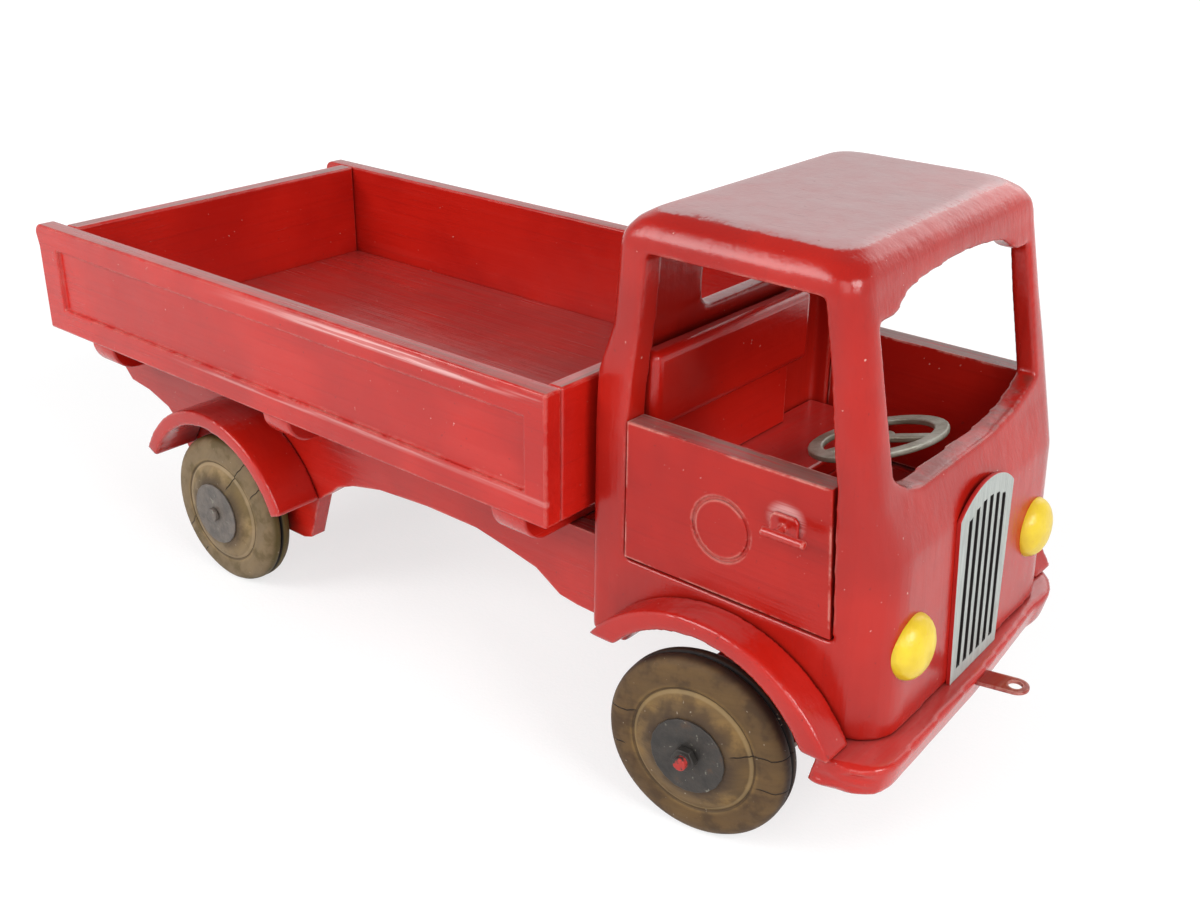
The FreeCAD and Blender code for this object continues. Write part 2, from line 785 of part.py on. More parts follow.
def build_cab_box():
    """The four boards of the cab, and the header that is carved on the roof block."""
    outer = cab_form()
    between = inner_width()
    ends = outer.cut(cab_room()).common(between)
    wide = ("-cab_half_width", "cab_half_width")
    front = ends.common(slab("cab_rear + cab_depth/2", "cab_front + overrun", *wide,
                             "cab_foot - overrun", "cab_head + overrun")).cut(screen_opening())
    above = slab("cab_rear", "cab_front + overrun", *wide, "header_foot", "cab_head + overrun")
    feature("cab_front", front.cut(above).removeSplitter())
    back = ends.common(slab("cab_rear - overrun", "cab_rear + cab_depth/2", *wide,
                            "cab_foot - overrun", "cab_head + overrun"))
    feature("cab_back", back.cut(rear_window()).removeSplitter())
    sides = outer.cut(between)
    for name, sign in (("cab_side_right", -1), ("cab_side_left", 1)):
        half = slab("cab_rear - overrun", "cab_front + overrun", "0",
                    "%d*(cab_half_width + overrun)" % sign, "cab_foot - overrun", "cab_head + overrun")
        board_shape = sides.common(half).cut(side_opening(sign)).cut(wheel_arch(sign))
        feature(name, board_shape.removeSplitter())
    build_roof(front.common(above))
    return outer


def build_roof(header):
    """A thick board rounded over in bands, with the header carved from the same block."""
    outlines = [section("head_rear", "head_front", "head_half", "cab_head", "rear_corner", "pillar_corner")]
    for band in range(ROOF_BANDS + 1):
        angle = math.pi / 2 * band / ROOF_BANDS
        inset = "roof_round*%.6f" % (1 - math.cos(angle))
        height = "cab_head + roof_thick - roof_round + roof_round*%.6f" % math.sin(angle)
        outlines.append(section("head_rear + " + inset, "head_front - " + inset, "head_half - " + inset,
                                height, "rear_corner + %s/2" % inset, "pillar_corner + %s/2" % inset))
    feature("cab_roof", stacked(outlines).fuse(header).removeSplitter())


def build_cab_floor():
    front = "cab_front - panel_thick - panel_lean"
    loop = closed(
        ("cab_in_rear", "-cab_in"),
        (front + " + skew_share*cab_in", "-cab_in"),
        (front + " - skew_share*cab_in", "cab_in"),
        ("cab_in_rear", "cab_in"),
    )
    plate = padded("cab_floor_board", "XY_Plane", [loop], "cab_floor_thick", "cab_foot + cab_floor_height")
    reach = "(helm_height - cab_floor_height + overrun)/cos(helm_lean * 1 deg)"
    bore = rod("column_bore", "column_radius + running_gap", reach,
               "helm_x + (%s)*sin(helm_lean * 1 deg)" % reach, "0",
               "helm_z - (%s)*cos(helm_lean * 1 deg)" % reach, (Vector(0, 1, 0), -value("helm_lean")))
    keep(cut("cab_floor", plate, bore), "cab_floor")
    keep(board("seat_board", "seat_depth", "2*cab_in", "seat_thick", "cab_in_rear", "-cab_in",
               "seat_top - seat_thick"), "seat_board")
    keep(board("seat_front", "riser_thick", "2*cab_in", "seat_top - seat_thick - floor_top",
               "cab_in_rear + seat_depth - riser_thick", "-cab_in", "floor_top"), "seat_front")
    keep(board("seat_riser", "riser_thick", "cab_in + riser_end", "riser_high", "cab_in_rear",
               "-cab_in", "seat_top"), "seat_riser")
    keep(board("seat_backrest", "backrest_thick", "rest_half + backrest_end", "backrest_high", "rest_rear",
               "-rest_half", "seat_top + riser_high"), "seat_backrest")


# The doors: flat boards with a scribed ring and a small bar handle.

def build_doors():
    loop = closed(
        ("door_rear", "door_foot"),
        ("door_rear + door_foot_length", "door_foot"),
        ("door_rear + door_head_length", "door_head"),
        ("door_rear", "door_head"),
    )
    door = padded("door_right", "XZ_Plane", [loop], "door_thick", "cab_half_width - door_thick")
    x, z = "door_rear + door_ring_at", "door_foot + door_ring_height"
    rings = [sided_ring(x, z, radius, RING_SIDES) for radius in ("door_ring", "door_ring - door_ring_width")]
    pocket(door, "XZ_Plane", rings, "door_ring_depth", "cab_half_width")
    keep(door, "door_right")
    mirrored("door_left", door)
    build_handles()


def build_handles():
    x, z = "door_rear + handle_at", "door_foot + handle_height"
    length, high, cut_corner = "handle_plate_length/2", "handle_plate_high/2", "handle_plate_thick"
    spots = []
    for across, up in ((1, 1), (-1, 1), (-1, -1), (1, -1)):
        side = ("%s + %d*%s" % (x, across, length), "%s + %d*(%s - %s)" % (z, up, high, cut_corner))
        end = ("%s + %d*(%s - %s)" % (x, across, length, cut_corner), "%s + %d*%s" % (z, up, high))
        spots += [side, end] if across * up > 0 else [end, side]
    plate = padded("handle_plate", "XZ_Plane", [closed(*spots)], "handle_plate_thick", "cab_half_width")
    stem = sided_rod("handle_stem", "handle_stem", "handle_plate_thick + handle_stand", ROD_SIDES,
                     x, "-cab_half_width", z, (Vector(1, 0, 0), 90))
    grip = sided_rod("handle_grip", "handle_bar_round", "handle_bar", ROD_SIDES, x + " - handle_bar_rear",
                     "-(cab_half_width + handle_plate_thick + handle_stand)", z, (Vector(0, 1, 0), 90))
    handle = keep(fuse("door_handle_right", plate, stem, grip), "door_handle_right")
    mirrored("door_handle_left", handle)


# Fenders: bent arches over the wheels.

def arc_run(x, z, radius, start, stop):
    """Points along an arc from one angle to another, as pairs of expressions."""
    angles = [start + (stop - start) * step / FENDER_STEPS for step in range(FENDER_STEPS + 1)]
    return [round_spot(x, z, radius, angle) for angle in angles]


def build_fenders():
    x = "front_fender_x"
    runs = []
    for z, radius in (("arch_top + front_fender_thick - front_fender_radius", "front_fender_radius"),
                      ("arch_top - front_fender_inner", "front_fender_inner")):
        front_end = math.asin(value("(cab_foot - (%s))/%s" % (z, radius)))
        rear_end = math.asin(value("(cab_foot + front_fender_lift - (%s))/%s" % (z, radius)))
        runs.append(arc_run(x, z, radius, front_end, math.pi - rear_end))
    loop = closed(*runs[0], *reversed(runs[1]))
    front = padded("fender_front_right", "XZ_Plane", [loop], "front_fender_width", "cab_half_width")
    mirrored("fender_front_left", keep(front, "fender_front_right"))
    x, z = "bed_rear + rear_fender_at", "wheel_radius - rear_fender_drop"
    front_end, rear_end = value("rear_fender_front_angle"), value("rear_fender_rear_angle")
    ends = (math.radians(front_end), math.pi - math.radians(rear_end))
    inner = "wheel_radius + rear_fender_clearance"
    outer = inner + " + rear_fender_thick"
    loop = closed(*arc_run(x, z, outer, *ends), *reversed(arc_run(x, z, inner, *ends)))
    rear = padded("fender_rear_right", "XZ_Plane", [loop], "rear_fender_width", "plank_half_span")
    mirrored("fender_rear_left", keep(rear, "fender_rear_right"))


# The bumper board, its front leaning back to its foot, and the pull strap let into it.

def flat_outline(name, loop, height):
    """A flat outline at a height, drawn outside any body."""
    sketch = DOC.addObject("Sketcher::SketchObject", name)
    trace(sketch, loop)
    return at(sketch, z=height)


def bumper_outline(front):
    """The bumper seen from above: square behind, a round right corner and a longer left one."""
    swell = front + " + bumper_swell"
    bend = front + " - bumper_fall"
    rear = bend + " - bumper_left_depth"
    left_width = "(bumper_half - bumper_bend_at)"
    return closed(
        (rear, "-bumper_half"),
        (swell + " - bumper_corner", "-bumper_half"),
        (swell + " - bumper_corner*(1 - sqrt(0.5))", "-(bumper_half - bumper_corner*(1 - sqrt(0.5)))",
         swell, "-(bumper_half - bumper_corner)"),
        (front, "0"),
        (bend, "bumper_bend_at"),
        (rear + " + bumper_left_depth*sqrt(0.5)", "bumper_bend_at + %s*sqrt(0.5)" % left_width,
         rear, "bumper_half"),
    )


def build_bumper():
    block = DOC.addObject("Part::Loft", "bumper_block")
    low = flat_outline("bumper_low", bumper_outline("bumper_front - bumper_lean"), "bumper_foot")
    block.Sections = [low, flat_outline("bumper_high_line", bumper_outline("bumper_front"), "cab_foot")]
    block.Solid = True
    block.Ruled = True
    turn = Rotation(Vector(0, 0, 1), value("tab_turn"))
    reach, half = "(tab_length + running_gap)", "(tab_width/2 + running_gap)"
    slot = DOC.addObject("Part::Box", "tab_slot")
    slot.Placement = Placement(Vector(), turn)
    bind(slot, Length=reach, Width="2*" + half, Height="tab_thick + 2*running_gap")
    at(slot, "bumper_front + tab_out - %s*cos(tab_turn * 1 deg) + %s*sin(tab_turn * 1 deg)" % (reach, half),
       "-%s*sin(tab_turn * 1 deg) - %s*cos(tab_turn * 1 deg)" % (reach, half),
       "cab_foot - tab_drop - tab_thick - running_gap")
    keep(cut("bumper", block, slot), "bumper")
    half = "tab_width/2"
    loop = closed(
        ("-tab_length", "-" + half),
        ("0", "-" + half),
        (half + "*sqrt(0.5)", "-%s*sqrt(0.5)" % half, half, "0"),
        (half + "*sqrt(0.5)", half + "*sqrt(0.5)", "0", half),
        ("-tab_length", half),
    )
    tab = padded("pull_tab", "XY_Plane", [loop, ring("0", "0", "tab_hole")], "tab_thick")
    tab.Placement = Placement(Vector(), turn)
    keep(at(tab, "bumper_front + tab_out", "0", "cab_foot - tab_drop - tab_thick"), "pull_tab")


# Grille and head lamps on the front panel.

def panel_turn():
    """The front panel's slant across the truck."""
    return Rotation(Vector(0, 0, 1), math.degrees(math.atan(value("skew_share"))))


def panel_tilt():
    """How far the front panel leans back."""
    return math.degrees(math.atan(value("panel_lean/brow_height")))


def build_grille():
    """A board with an arched head and upright slots, standing on the bumper against the panel."""
    foot, half = value("grille_foot_half"), value("grille_half")
    shoulder, high = value("grille_shoulder"), value("grille_high")
    edges = [
        Part.LineSegment(Vector(0, -foot, 0), Vector(0, foot, 0)).toShape(),
        Part.LineSegment(Vector(0, foot, 0), Vector(0, half, shoulder)).toShape(),
        Part.Arc(Vector(0, half, shoulder), Vector(0, 0, high), Vector(0, -half, shoulder)).toShape(),
        Part.LineSegment(Vector(0, -half, shoulder), Vector(0, -foot, 0)).toShape(),
    ]
    block = Part.Face(Part.Wire(edges)).extrude(Vector(value("grille_thick"), 0, 0))
    pitch = 2 * foot / (GRILLE_SLOTS + 1)
    width, depth, low = value("grille_slot"), value("grille_slot_depth"), value("grille_slot_foot")
    for number in range(GRILLE_SLOTS):
        y = (number - (GRILLE_SLOTS - 1) / 2) * pitch
        top = high - (high - shoulder) * (y / half) ** 2 - value("grille_slot_head")
        corner = Vector(value("grille_thick") - depth, y - width / 2, low)
        block = block.cut(Part.makeBox(2 * depth, width, top - low, corner))
    thing = feature("grille", block)
    tilt = Rotation(Vector(0, 1, 0), -panel_tilt())
    thing.Placement = Placement(point("cab_front", "0", "cab_foot"), panel_turn().multiply(tilt))


# The lamp's dome: shares of its radius and of its bulge, from its rim to its crown.

LAMP_SHARES = ((1.0, 0.0), (0.93, 0.38), (0.7, 0.73), (0.38, 0.94), (0.12, 1.0))


def build_lamps(cab_block):
    """Turned domes that fit the rounded corners of the panel they stand on."""
    rim = [("lamp_radius*%s" % out, "lamp_bulge*%s" % up) for out, up in LAMP_SHARES]
    dome = turned([("lamp_radius", "-lamp_root")] + rim, LAMP_SIDES)
    face = Rotation(Vector(0, 1, 0), 90 - panel_tilt())
    for end, side in (("right", "-"), ("left", "")):
        height = "lamp_height_" + end
        x = "cab_front - panel_lean*%s/brow_height - skew_share*(%slamp_half_span)" % (height, side)
        middle = point(x, side + "lamp_half_span", "cab_foot + " + height)
        dome.Placement = Placement(middle, panel_turn().multiply(face))
        feature("headlamp_" + end, dome.cut(cab_block))


# Wheels, washers, nuts and axles.

def wheel_form():
    """A turned wheel: rounded tyre edges, a groove round the tread and a raised hub."""
    middle = "-wheel_width/2"
    rings = [
        ("wheel_radius - tyre_edge", "-wheel_width"),
        ("wheel_radius", "tyre_edge - wheel_width"),
        ("wheel_radius", middle + " - tyre_groove/2"),
        ("wheel_radius - tyre_groove", middle),
        ("wheel_radius", middle + " + tyre_groove/2"),
        ("wheel_radius", "-tyre_edge"),
        ("wheel_radius - tyre_edge", "0"),
        ("face_ring", "0"),
        ("hub_radius", "hub_rise"),
    ]
    low = Vector(0, 0, -value("wheel_width + overrun"))
    length = value("wheel_width + hub_rise + 2*overrun")
    bore = Part.makeCylinder(value("axle_radius + running_gap"), length, low)
    return turned(rings, WHEEL_SIDES).cut(bore).removeSplitter()


CORNERS = {
    "front_right": ("kingpin_x", "-kingpin_half", "kingpin_inset", "steer_rest"),
    "front_left": ("kingpin_x", "kingpin_half", "kingpin_inset", "steer_rest + 180"),
    "rear_right": ("rear_axle_x", "0", "rear_rim_plane", "0"),
    "rear_left": ("rear_axle_x", "0", "rear_rim_plane", "180"),
}


def on_corner(thing, corner, reach, tilt=True):
    """Stand a piece made round the z axis on its axle, its outer side away from the truck."""
    x, y, _, turn = CORNERS[corner]
    outward = Rotation(Vector(0, 0, 1), value(turn))
    stand = Rotation(Vector(1, 0, 0), 90) if tilt else Rotation()
    thing.Placement = Placement(Vector(), outward.multiply(stand))
    return at(thing, "%s + (%s)*sin((%s) * 1 deg)" % (x, reach, turn),
              "%s - (%s)*cos((%s) * 1 deg)" % (y, reach, turn), "wheel_radius")


def hub_washer(name):
    flat_reach = "(axle_radius + running_gap)/%.6f" % math.cos(math.pi / WASHER_SIDES)
    loops = [sided_ring("0", "0", radius, WASHER_SIDES) for radius in ("washer_radius", flat_reach)]
    return padded(name, "XY_Plane", loops, "washer_thick", "hub_rise")


def hub_nut(name, corner):
    """A six-sided nut with its bolt end in front, a plain screw head behind."""
    foot = "hub_rise + washer_thick + side_play"
    if corner.startswith("rear"):
        head = sided_ring("0", "0", "screw_radius", ROD_SIDES)
        return padded(name, "XY_Plane", [head], "screw_high", foot)
    nut = sided_rod(name + "_six", "nut_radius", "nut_high", NUT_SIDES, z=foot)
    bolt = sided_rod(name + "_bolt", "bolt_radius", "nut_high + bolt_high", ROD_SIDES, z=foot)
    return fuse(name, nut, bolt)


def build_wheels():
    wheel = wheel_form()
    for corner, (_, _, plane, _) in CORNERS.items():
        on_corner(feature("wheel_" + corner, wheel), corner, plane)
        name = "hub_washer_" + corner
        keep(on_corner(hub_washer(name), corner, plane), name)
        name = "hub_nut_" + corner
        keep(on_corner(hub_nut(name, corner), corner, plane), name)
    rear_span = "2*(rear_rim_plane + hub_rise + washer_thick + side_play)"
    keep(rod("rear_axle", "axle_radius", rear_span, "rear_axle_x", rear_span + "/2", "wheel_radius",
             (Vector(1, 0, 0), 90)), "rear_axle")


# The steered front axle: a fixed beam, two knuckles on kingpins and the bar that ties them.

def build_front_axle():
    beam = board("front_beam_block", "beam_width", "2*(kingpin_half + beam_overhang)", "beam_high",
                 "kingpin_x - beam_width/2", "-(kingpin_half + beam_overhang)", "beam_foot")
    bores = []
    for side, sign in (("right", "-"), ("left", "")):
        keep(rod("kingpin_" + side, "kingpin", "beam_high + knuckle_high + 2*joint_gap", "kingpin_x",
                 sign + "kingpin_half", "beam_foot - knuckle_high - 2*joint_gap"), "kingpin_" + side)
        bores.append(rod("kingpin_bore_" + side, "kingpin + running_gap", "beam_high + 2*overrun",
                         "kingpin_x", sign + "kingpin_half", "beam_foot - overrun"))
    keep(cut("front_axle_beam", beam, *bores), "front_axle_beam")
    rise = "cab_foot + cab_floor_height - beam_foot - beam_high"
    keep(board("axle_bolster", "beam_width", "bolster_length", rise, "kingpin_x - beam_width/2",
               "-bolster_length/2", "beam_foot + beam_high"), "axle_bolster")
    for side, forward in (("right", "1"), ("left", "-1")):
        knuckle(side, forward)
    tie_bar()


def knuckle(side, forward):
    """A swivelling block with the stub axle on one side and a steering arm towards the front."""
    name = "knuckle_" + side
    corner = "front_" + side
    plane = CORNERS[corner][2]
    block = board(name + "_block", "knuckle_width", "knuckle_width", "knuckle_high",
                  "-knuckle_width/2", "-knuckle_width/2", "-knuckle_high/2")
    stub = rod(name + "_stub", "axle_radius", "%s + hub_rise + washer_thick + side_play" % plane,
               "0", "0", "0", (Vector(1, 0, 0), 90))
    arm = board(name + "_arm", "arm_reach + tie_end", "arm_width", "arm_thick",
                "(%s - 1)/2*(arm_reach + tie_end)" % forward, "-arm_width/2", "-knuckle_high/2")
    pin = rod(name + "_pin", "tie_pin", "2*arm_thick + joint_gap", "%s*arm_reach" % forward, "0",
              "-knuckle_high/2 - arm_thick - joint_gap")
    bore = rod(name + "_bore", "kingpin + running_gap", "knuckle_high + 2*overrun", "0", "0",
               "-knuckle_high/2 - overrun")
    keep(on_corner(cut(name, fuse(name, block, stub, arm, pin), bore), corner, "0", False), name)


def tie_bar():
    """A flat strip that joins the two steering arms and keeps the wheels parallel."""
    length = "2*(kingpin_half + tie_end)"
    strip = board("tie_bar_strip", "arm_width", length, "arm_thick", "0", "-tie_end", "0")
    holes = [rod("tie_bar_hole_" + side, "tie_pin + running_gap", "arm_thick + 2*overrun", "arm_width/2",
                 where, "-overrun") for side, where in (("right", "0"), ("left", "2*kingpin_half"))]
    whole = at(cut("tie_bar", strip, *holes), "kingpin_x + arm_reach*cos(steer_rest * 1 deg) - arm_width/2",
               "arm_reach*sin(steer_rest * 1 deg) - kingpin_half",
               "wheel_radius - knuckle_high/2 - arm_thick - joint_gap")
    keep(whole, "tie_bar")


def build_helm():
    """The cast steering wheel on its leaning rod."""
    hole = sided_rod("helm_hole", "helm_radius - helm_rim", "helm_thick + 2*overrun", HELM_SIDES,
                     z="-overrun")
    rim = cut("helm_rim", sided_rod("helm_disc", "helm_radius", "helm_thick", HELM_SIDES), hole)
    spokes = [sided_rod("helm_hub", "helm_hub", "helm_thick", HELM_SIDES)]
    for number in range(SPOKES):
        spoke = DOC.addObject("Part::Box", "helm_spoke_%d" % number)
        turn = Rotation(Vector(0, 0, 1), 360.0 * number / SPOKES)
        spoke.Placement = Placement(turn.multVec(Vector(0, -value("helm_spoke/2"), 0)), turn)
        bind(spoke, Length="helm_radius - helm_rim/2", Width="helm_spoke", Height="helm_thick")
        spokes.append(spoke)
    whole = cut("steering_wheel", fuse("steering_wheel", rim, *spokes),
                rod("helm_bore", "column_radius", "helm_thick + 2*overrun", z="-overrun"))
    lean = Rotation(Vector(0, 1, 0), -value("helm_lean"))
    whole.Placement = Placement(Vector(), lean)
    keep(at(whole, "helm_x", "0", "helm_z"), "steering_wheel")
    length = "(helm_height - cab_floor_height + column_end)/cos(helm_lean * 1 deg)"
    column = rod("steering_column", "column_radius", length + " + helm_thick",
                 "helm_x + (%s)*sin(helm_lean * 1 deg)" % length, "0",
                 "helm_z - (%s)*cos(helm_lean * 1 deg)" % length, (Vector(0, 1, 0), -value("helm_lean")))
    keep(column, "steering_column")


def check_and_write():
    """Stop at anything that failed, then write one file for each sub-part."""
    DOC.recompute()
    for thing in DOC.Objects:
        if "Invalid" in thing.State or "Error" in thing.State:
            raise RuntimeError("%s did not build: %s" % (thing.Label, thing.State))
    os.makedirs("parts", exist_ok=True)
    for thing in PARTS:
        shape = thing.Shape
        if shape.isNull() or not shape.isValid():
            raise RuntimeError("%s has no sound shape" % thing.Label)
        shape.exportStep("parts/%s.step" % thing.Label)
    print(len(PARTS), "sub-parts")


build_bed()
build_chassis()
CAB_BLOCK = build_cab_box()
build_cab_floor()
build_doors()
build_fenders()
build_bumper()
build_grille()
build_lamps(CAB_BLOCK)
build_wheels()
build_front_axle()
build_helm()
check_and_write()
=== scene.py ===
import json
import math

import bmesh
import bpy
from mathutils import Matrix, Vector, noise


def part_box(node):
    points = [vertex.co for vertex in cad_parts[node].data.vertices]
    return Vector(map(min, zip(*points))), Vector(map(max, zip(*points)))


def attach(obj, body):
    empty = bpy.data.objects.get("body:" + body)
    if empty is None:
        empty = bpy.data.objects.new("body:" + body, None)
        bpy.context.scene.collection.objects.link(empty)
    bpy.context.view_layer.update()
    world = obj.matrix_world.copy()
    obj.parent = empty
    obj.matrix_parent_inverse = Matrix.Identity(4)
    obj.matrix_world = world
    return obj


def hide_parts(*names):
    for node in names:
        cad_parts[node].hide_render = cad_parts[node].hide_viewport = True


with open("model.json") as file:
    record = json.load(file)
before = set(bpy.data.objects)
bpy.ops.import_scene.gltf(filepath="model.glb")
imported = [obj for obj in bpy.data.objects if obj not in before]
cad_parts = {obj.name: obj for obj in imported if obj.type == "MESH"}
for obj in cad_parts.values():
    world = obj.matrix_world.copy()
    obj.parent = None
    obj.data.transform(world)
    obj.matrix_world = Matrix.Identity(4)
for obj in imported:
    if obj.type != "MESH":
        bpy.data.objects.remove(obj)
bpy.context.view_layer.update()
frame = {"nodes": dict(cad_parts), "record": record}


# The view: a small camera held a step away from the toy's right front corner, a little
# above the roof and looking down at it, level to within a degree.

lens = bpy.data.cameras.new("photo_view")
lens.sensor_width = 36.0
lens.lens = 41.8
camera = bpy.data.objects.new("photo_view", lens)
camera_spot = (0.4955, -0.5407, 0.4347)
rightward = Vector((0.76727, 0.64127, 0.01124))
upward = Vector((-0.27394, 0.31183, 0.90981))
backward = rightward.cross(upward)
turned = Matrix((rightward, upward, backward)).transposed().to_4x4()
camera.matrix_world = Matrix.Translation(camera_spot) @ turned
bpy.context.scene.collection.objects.link(camera)
bpy.context.scene.camera = camera
bpy.context.scene.view_settings.view_transform = "Standard"


# The room: its light is put together from wires, as every material is. A wire is an output
# of one node; it can be added to another, multiplied, or used to lay one colour over another.

class Wire:
    """One output of a tree of nodes."""

    def __init__(self, tree, socket=None):
        self.tree = tree
        self.socket = socket

    def node(self, kind, settings=None, inputs=None, output=0):
        made = self.tree.nodes.new(kind)
        for name, setting in (settings or {}).items():
            setattr(made, name, setting)
        for name, source in (inputs or {}).items():
            if isinstance(source, Wire):
                self.tree.links.new(source.socket, made.inputs[name])
            else:
                made.inputs[name].default_value = source
        return Wire(self.tree, made.outputs[output])

    def math(self, kind, *numbers):
        return self.node("ShaderNodeMath", {"operation": kind}, dict(enumerate(numbers)))

    def __add__(self, other):
        return self.math("ADD", self, other)

    def __sub__(self, other):
        return self.math("SUBTRACT", self, other)

    def __rsub__(self, other):
        return self.math("SUBTRACT", other, self)

    def __mul__(self, other):
        return self.math("MULTIPLY", self, other)

    def __truediv__(self, other):
        return self.math("DIVIDE", self, other)

    def __rtruediv__(self, other):
        return self.math("DIVIDE", other, self)

    def __abs__(self):
        return self.math("ABSOLUTE", self)

    __radd__ = __add__
    __rmul__ = __mul__

    def most(self, other):
        return self.math("MAXIMUM", self, other)

    def step(self, low, high):
        """Nothing below low, all above high, smooth between; the other way round if low is above."""
        return self.node("ShaderNodeMapRange", {"interpolation_type": "SMOOTHSTEP"},
                         {"Value": self, "From Min": low, "From Max": high})

    def lay(self, under, over):
        """The second colour over the first, as much as this wire says."""
        return self.node("ShaderNodeMix", {"data_type": "RGBA"}, {0: self, 6: under, 7: over}, 2)

    def vector(self, kind, other, output=0):
        return self.node("ShaderNodeVectorMath", {"operation": kind}, {0: self, 1: other}, output)

    def away(self, spot):
        return self.vector("SUBTRACT", spot)

    def along(self, direction):
        return self.vector("DOT_PRODUCT", direction, "Value")

    def length(self):
        return self.vector("LENGTH", (0.0, 0.0, 0.0), "Value")

    def part(self, axis):
        return self.node("ShaderNodeSeparateXYZ", None, {0: self}, axis)

    def noise(self, stretch, detail=3.0, rough=0.5):
        """Cloudy patches, so many to the metre along each axis."""
        place = self.vector("MULTIPLY", stretch)
        return self.node("ShaderNodeTexNoise", None,
                         {"Vector": place, "Scale": 1.0, "Detail": detail, "Roughness": rough})

    def spot(self, kind):
        """A place or a direction on the surface: Object, Normal or Generated."""
        return self.node("ShaderNodeTexCoord", None, None, kind)

    def ray(self, kind):
        """1 for a ray of this kind, otherwise 0."""
        return self.node("ShaderNodeLightPath", None, None, "Is %s Ray" % kind)

    def close(self, kind):
        """Hand this shader to the tree's last node."""
        end = self.tree.nodes.new(kind)
        self.tree.links.new(self.socket, end.inputs["Surface"])


# The light: a pale room, dimmer overhead, with one large soft lamp in front, one beside the
# bed, and two weak ones near the camera and on the far side.

white = (1.0, 1.0, 1.0, 1.0)
room = bpy.data.worlds.new("white_room")
room.use_nodes = True
room.node_tree.nodes.clear()
bpy.context.scene.world = room
air = Wire(room.node_tree)
by_camera = air.ray("Camera")
shown = by_camera.most(air.ray("Glossy")).most(air.ray("Transmission"))
overhead = air.spot("Generated").part(2).step(0.38, 0.72)
brightness = by_camera.most(1 - overhead * 0.7)
soft = air.node("ShaderNodeBackground", None, {"Color": white, "Strength": 0.42})
clear = air.node("ShaderNodeBackground", None, {"Color": white, "Strength": brightness})
air.node("ShaderNodeMixShader", None, {0: shown, 1: soft, 2: clear}).close("ShaderNodeOutputWorld")

for name, stand, target, size, power in (
    ("front_lamp", (1.45, -0.35, 1.05), (0.2, 0.0, 0.15), 0.7, 17.0),
    ("bed_lamp", (-0.6, -1.25, 0.95), (-0.15, 0.0, 0.1), 0.8, 15.0),
    ("near_lamp", (0.8, -1.05, 0.85), (0.15, 0.0, 0.15), 0.7, 4.0),
    ("left_lamp", (0.2, 1.5, 1.1), (0.0, 0.0, 0.1), 1.2, 8.0),
):
    glow = bpy.data.lights.new(name, "AREA")
    glow.size = size
    glow.energy = power
    lamp = bpy.data.objects.new(name, glow)
    lamp.location = stand
    aim = Vector(target) - Vector(stand)
    lamp.rotation_euler = aim.to_track_quat("-Z", "Y").to_euler()
    bpy.context.scene.collection.objects.link(lamp)


# The table: a sheet of white paper, so bright to the camera that only the soft shadow
# close round the toy still shows.

def new_material(name):
    """An empty material and the wire of the place on the piece, in metres."""
    material = bpy.data.materials.new(name)
    material.use_nodes = True
    material.node_tree.nodes.clear()
    return material, Wire(material.node_tree).spot("Object")


def coat(place, colour, roughness, height, depth, **constants):
    """Finish a material: its colour, its roughness and a height that stands for its relief."""
    relief = place.node("ShaderNodeBump", None, {"Height": height, "Strength": 1.0, "Distance": depth})
    inputs = {"Base Color": colour, "Roughness": roughness, "Normal": relief}
    inputs.update({name.replace("_", " "): number for name, number in constants.items()})
    place.node("ShaderNodeBsdfPrincipled", None, inputs).close("ShaderNodeOutputMaterial")


paper_white, place = new_material("paper_white")
fibre = place.noise((400.0, 400.0, 400.0), 3.0)
looked_at = place.ray("Camera").most(place.ray("Glossy"))
sheet_white = looked_at.lay((0.9, 0.9, 0.9, 1), (0.34, 0.34, 0.34, 1))
far = place.length().step(0.45, 1.6)
shine = looked_at.lay((0.0, 0.0, 0.0, 1), far.lay((0.69, 0.69, 0.69, 1), white))
coat(place, sheet_white, fibre * 0.1 + 0.8, fibre, 0.0001, Specular_IOR_Level=0.0,
     Emission_Color=shine, Emission_Strength=1.0)
sheet = bmesh.new()
bmesh.ops.create_grid(sheet, x_segments=2, y_segments=2, size=9.0)
paper_mesh = bpy.data.meshes.new("paper")
sheet.to_mesh(paper_mesh)
sheet.free()
paper_mesh.materials.append(paper_white)
paper = bpy.data.objects.new("paper", paper_mesh)
bpy.context.scene.collection.objects.link(paper)
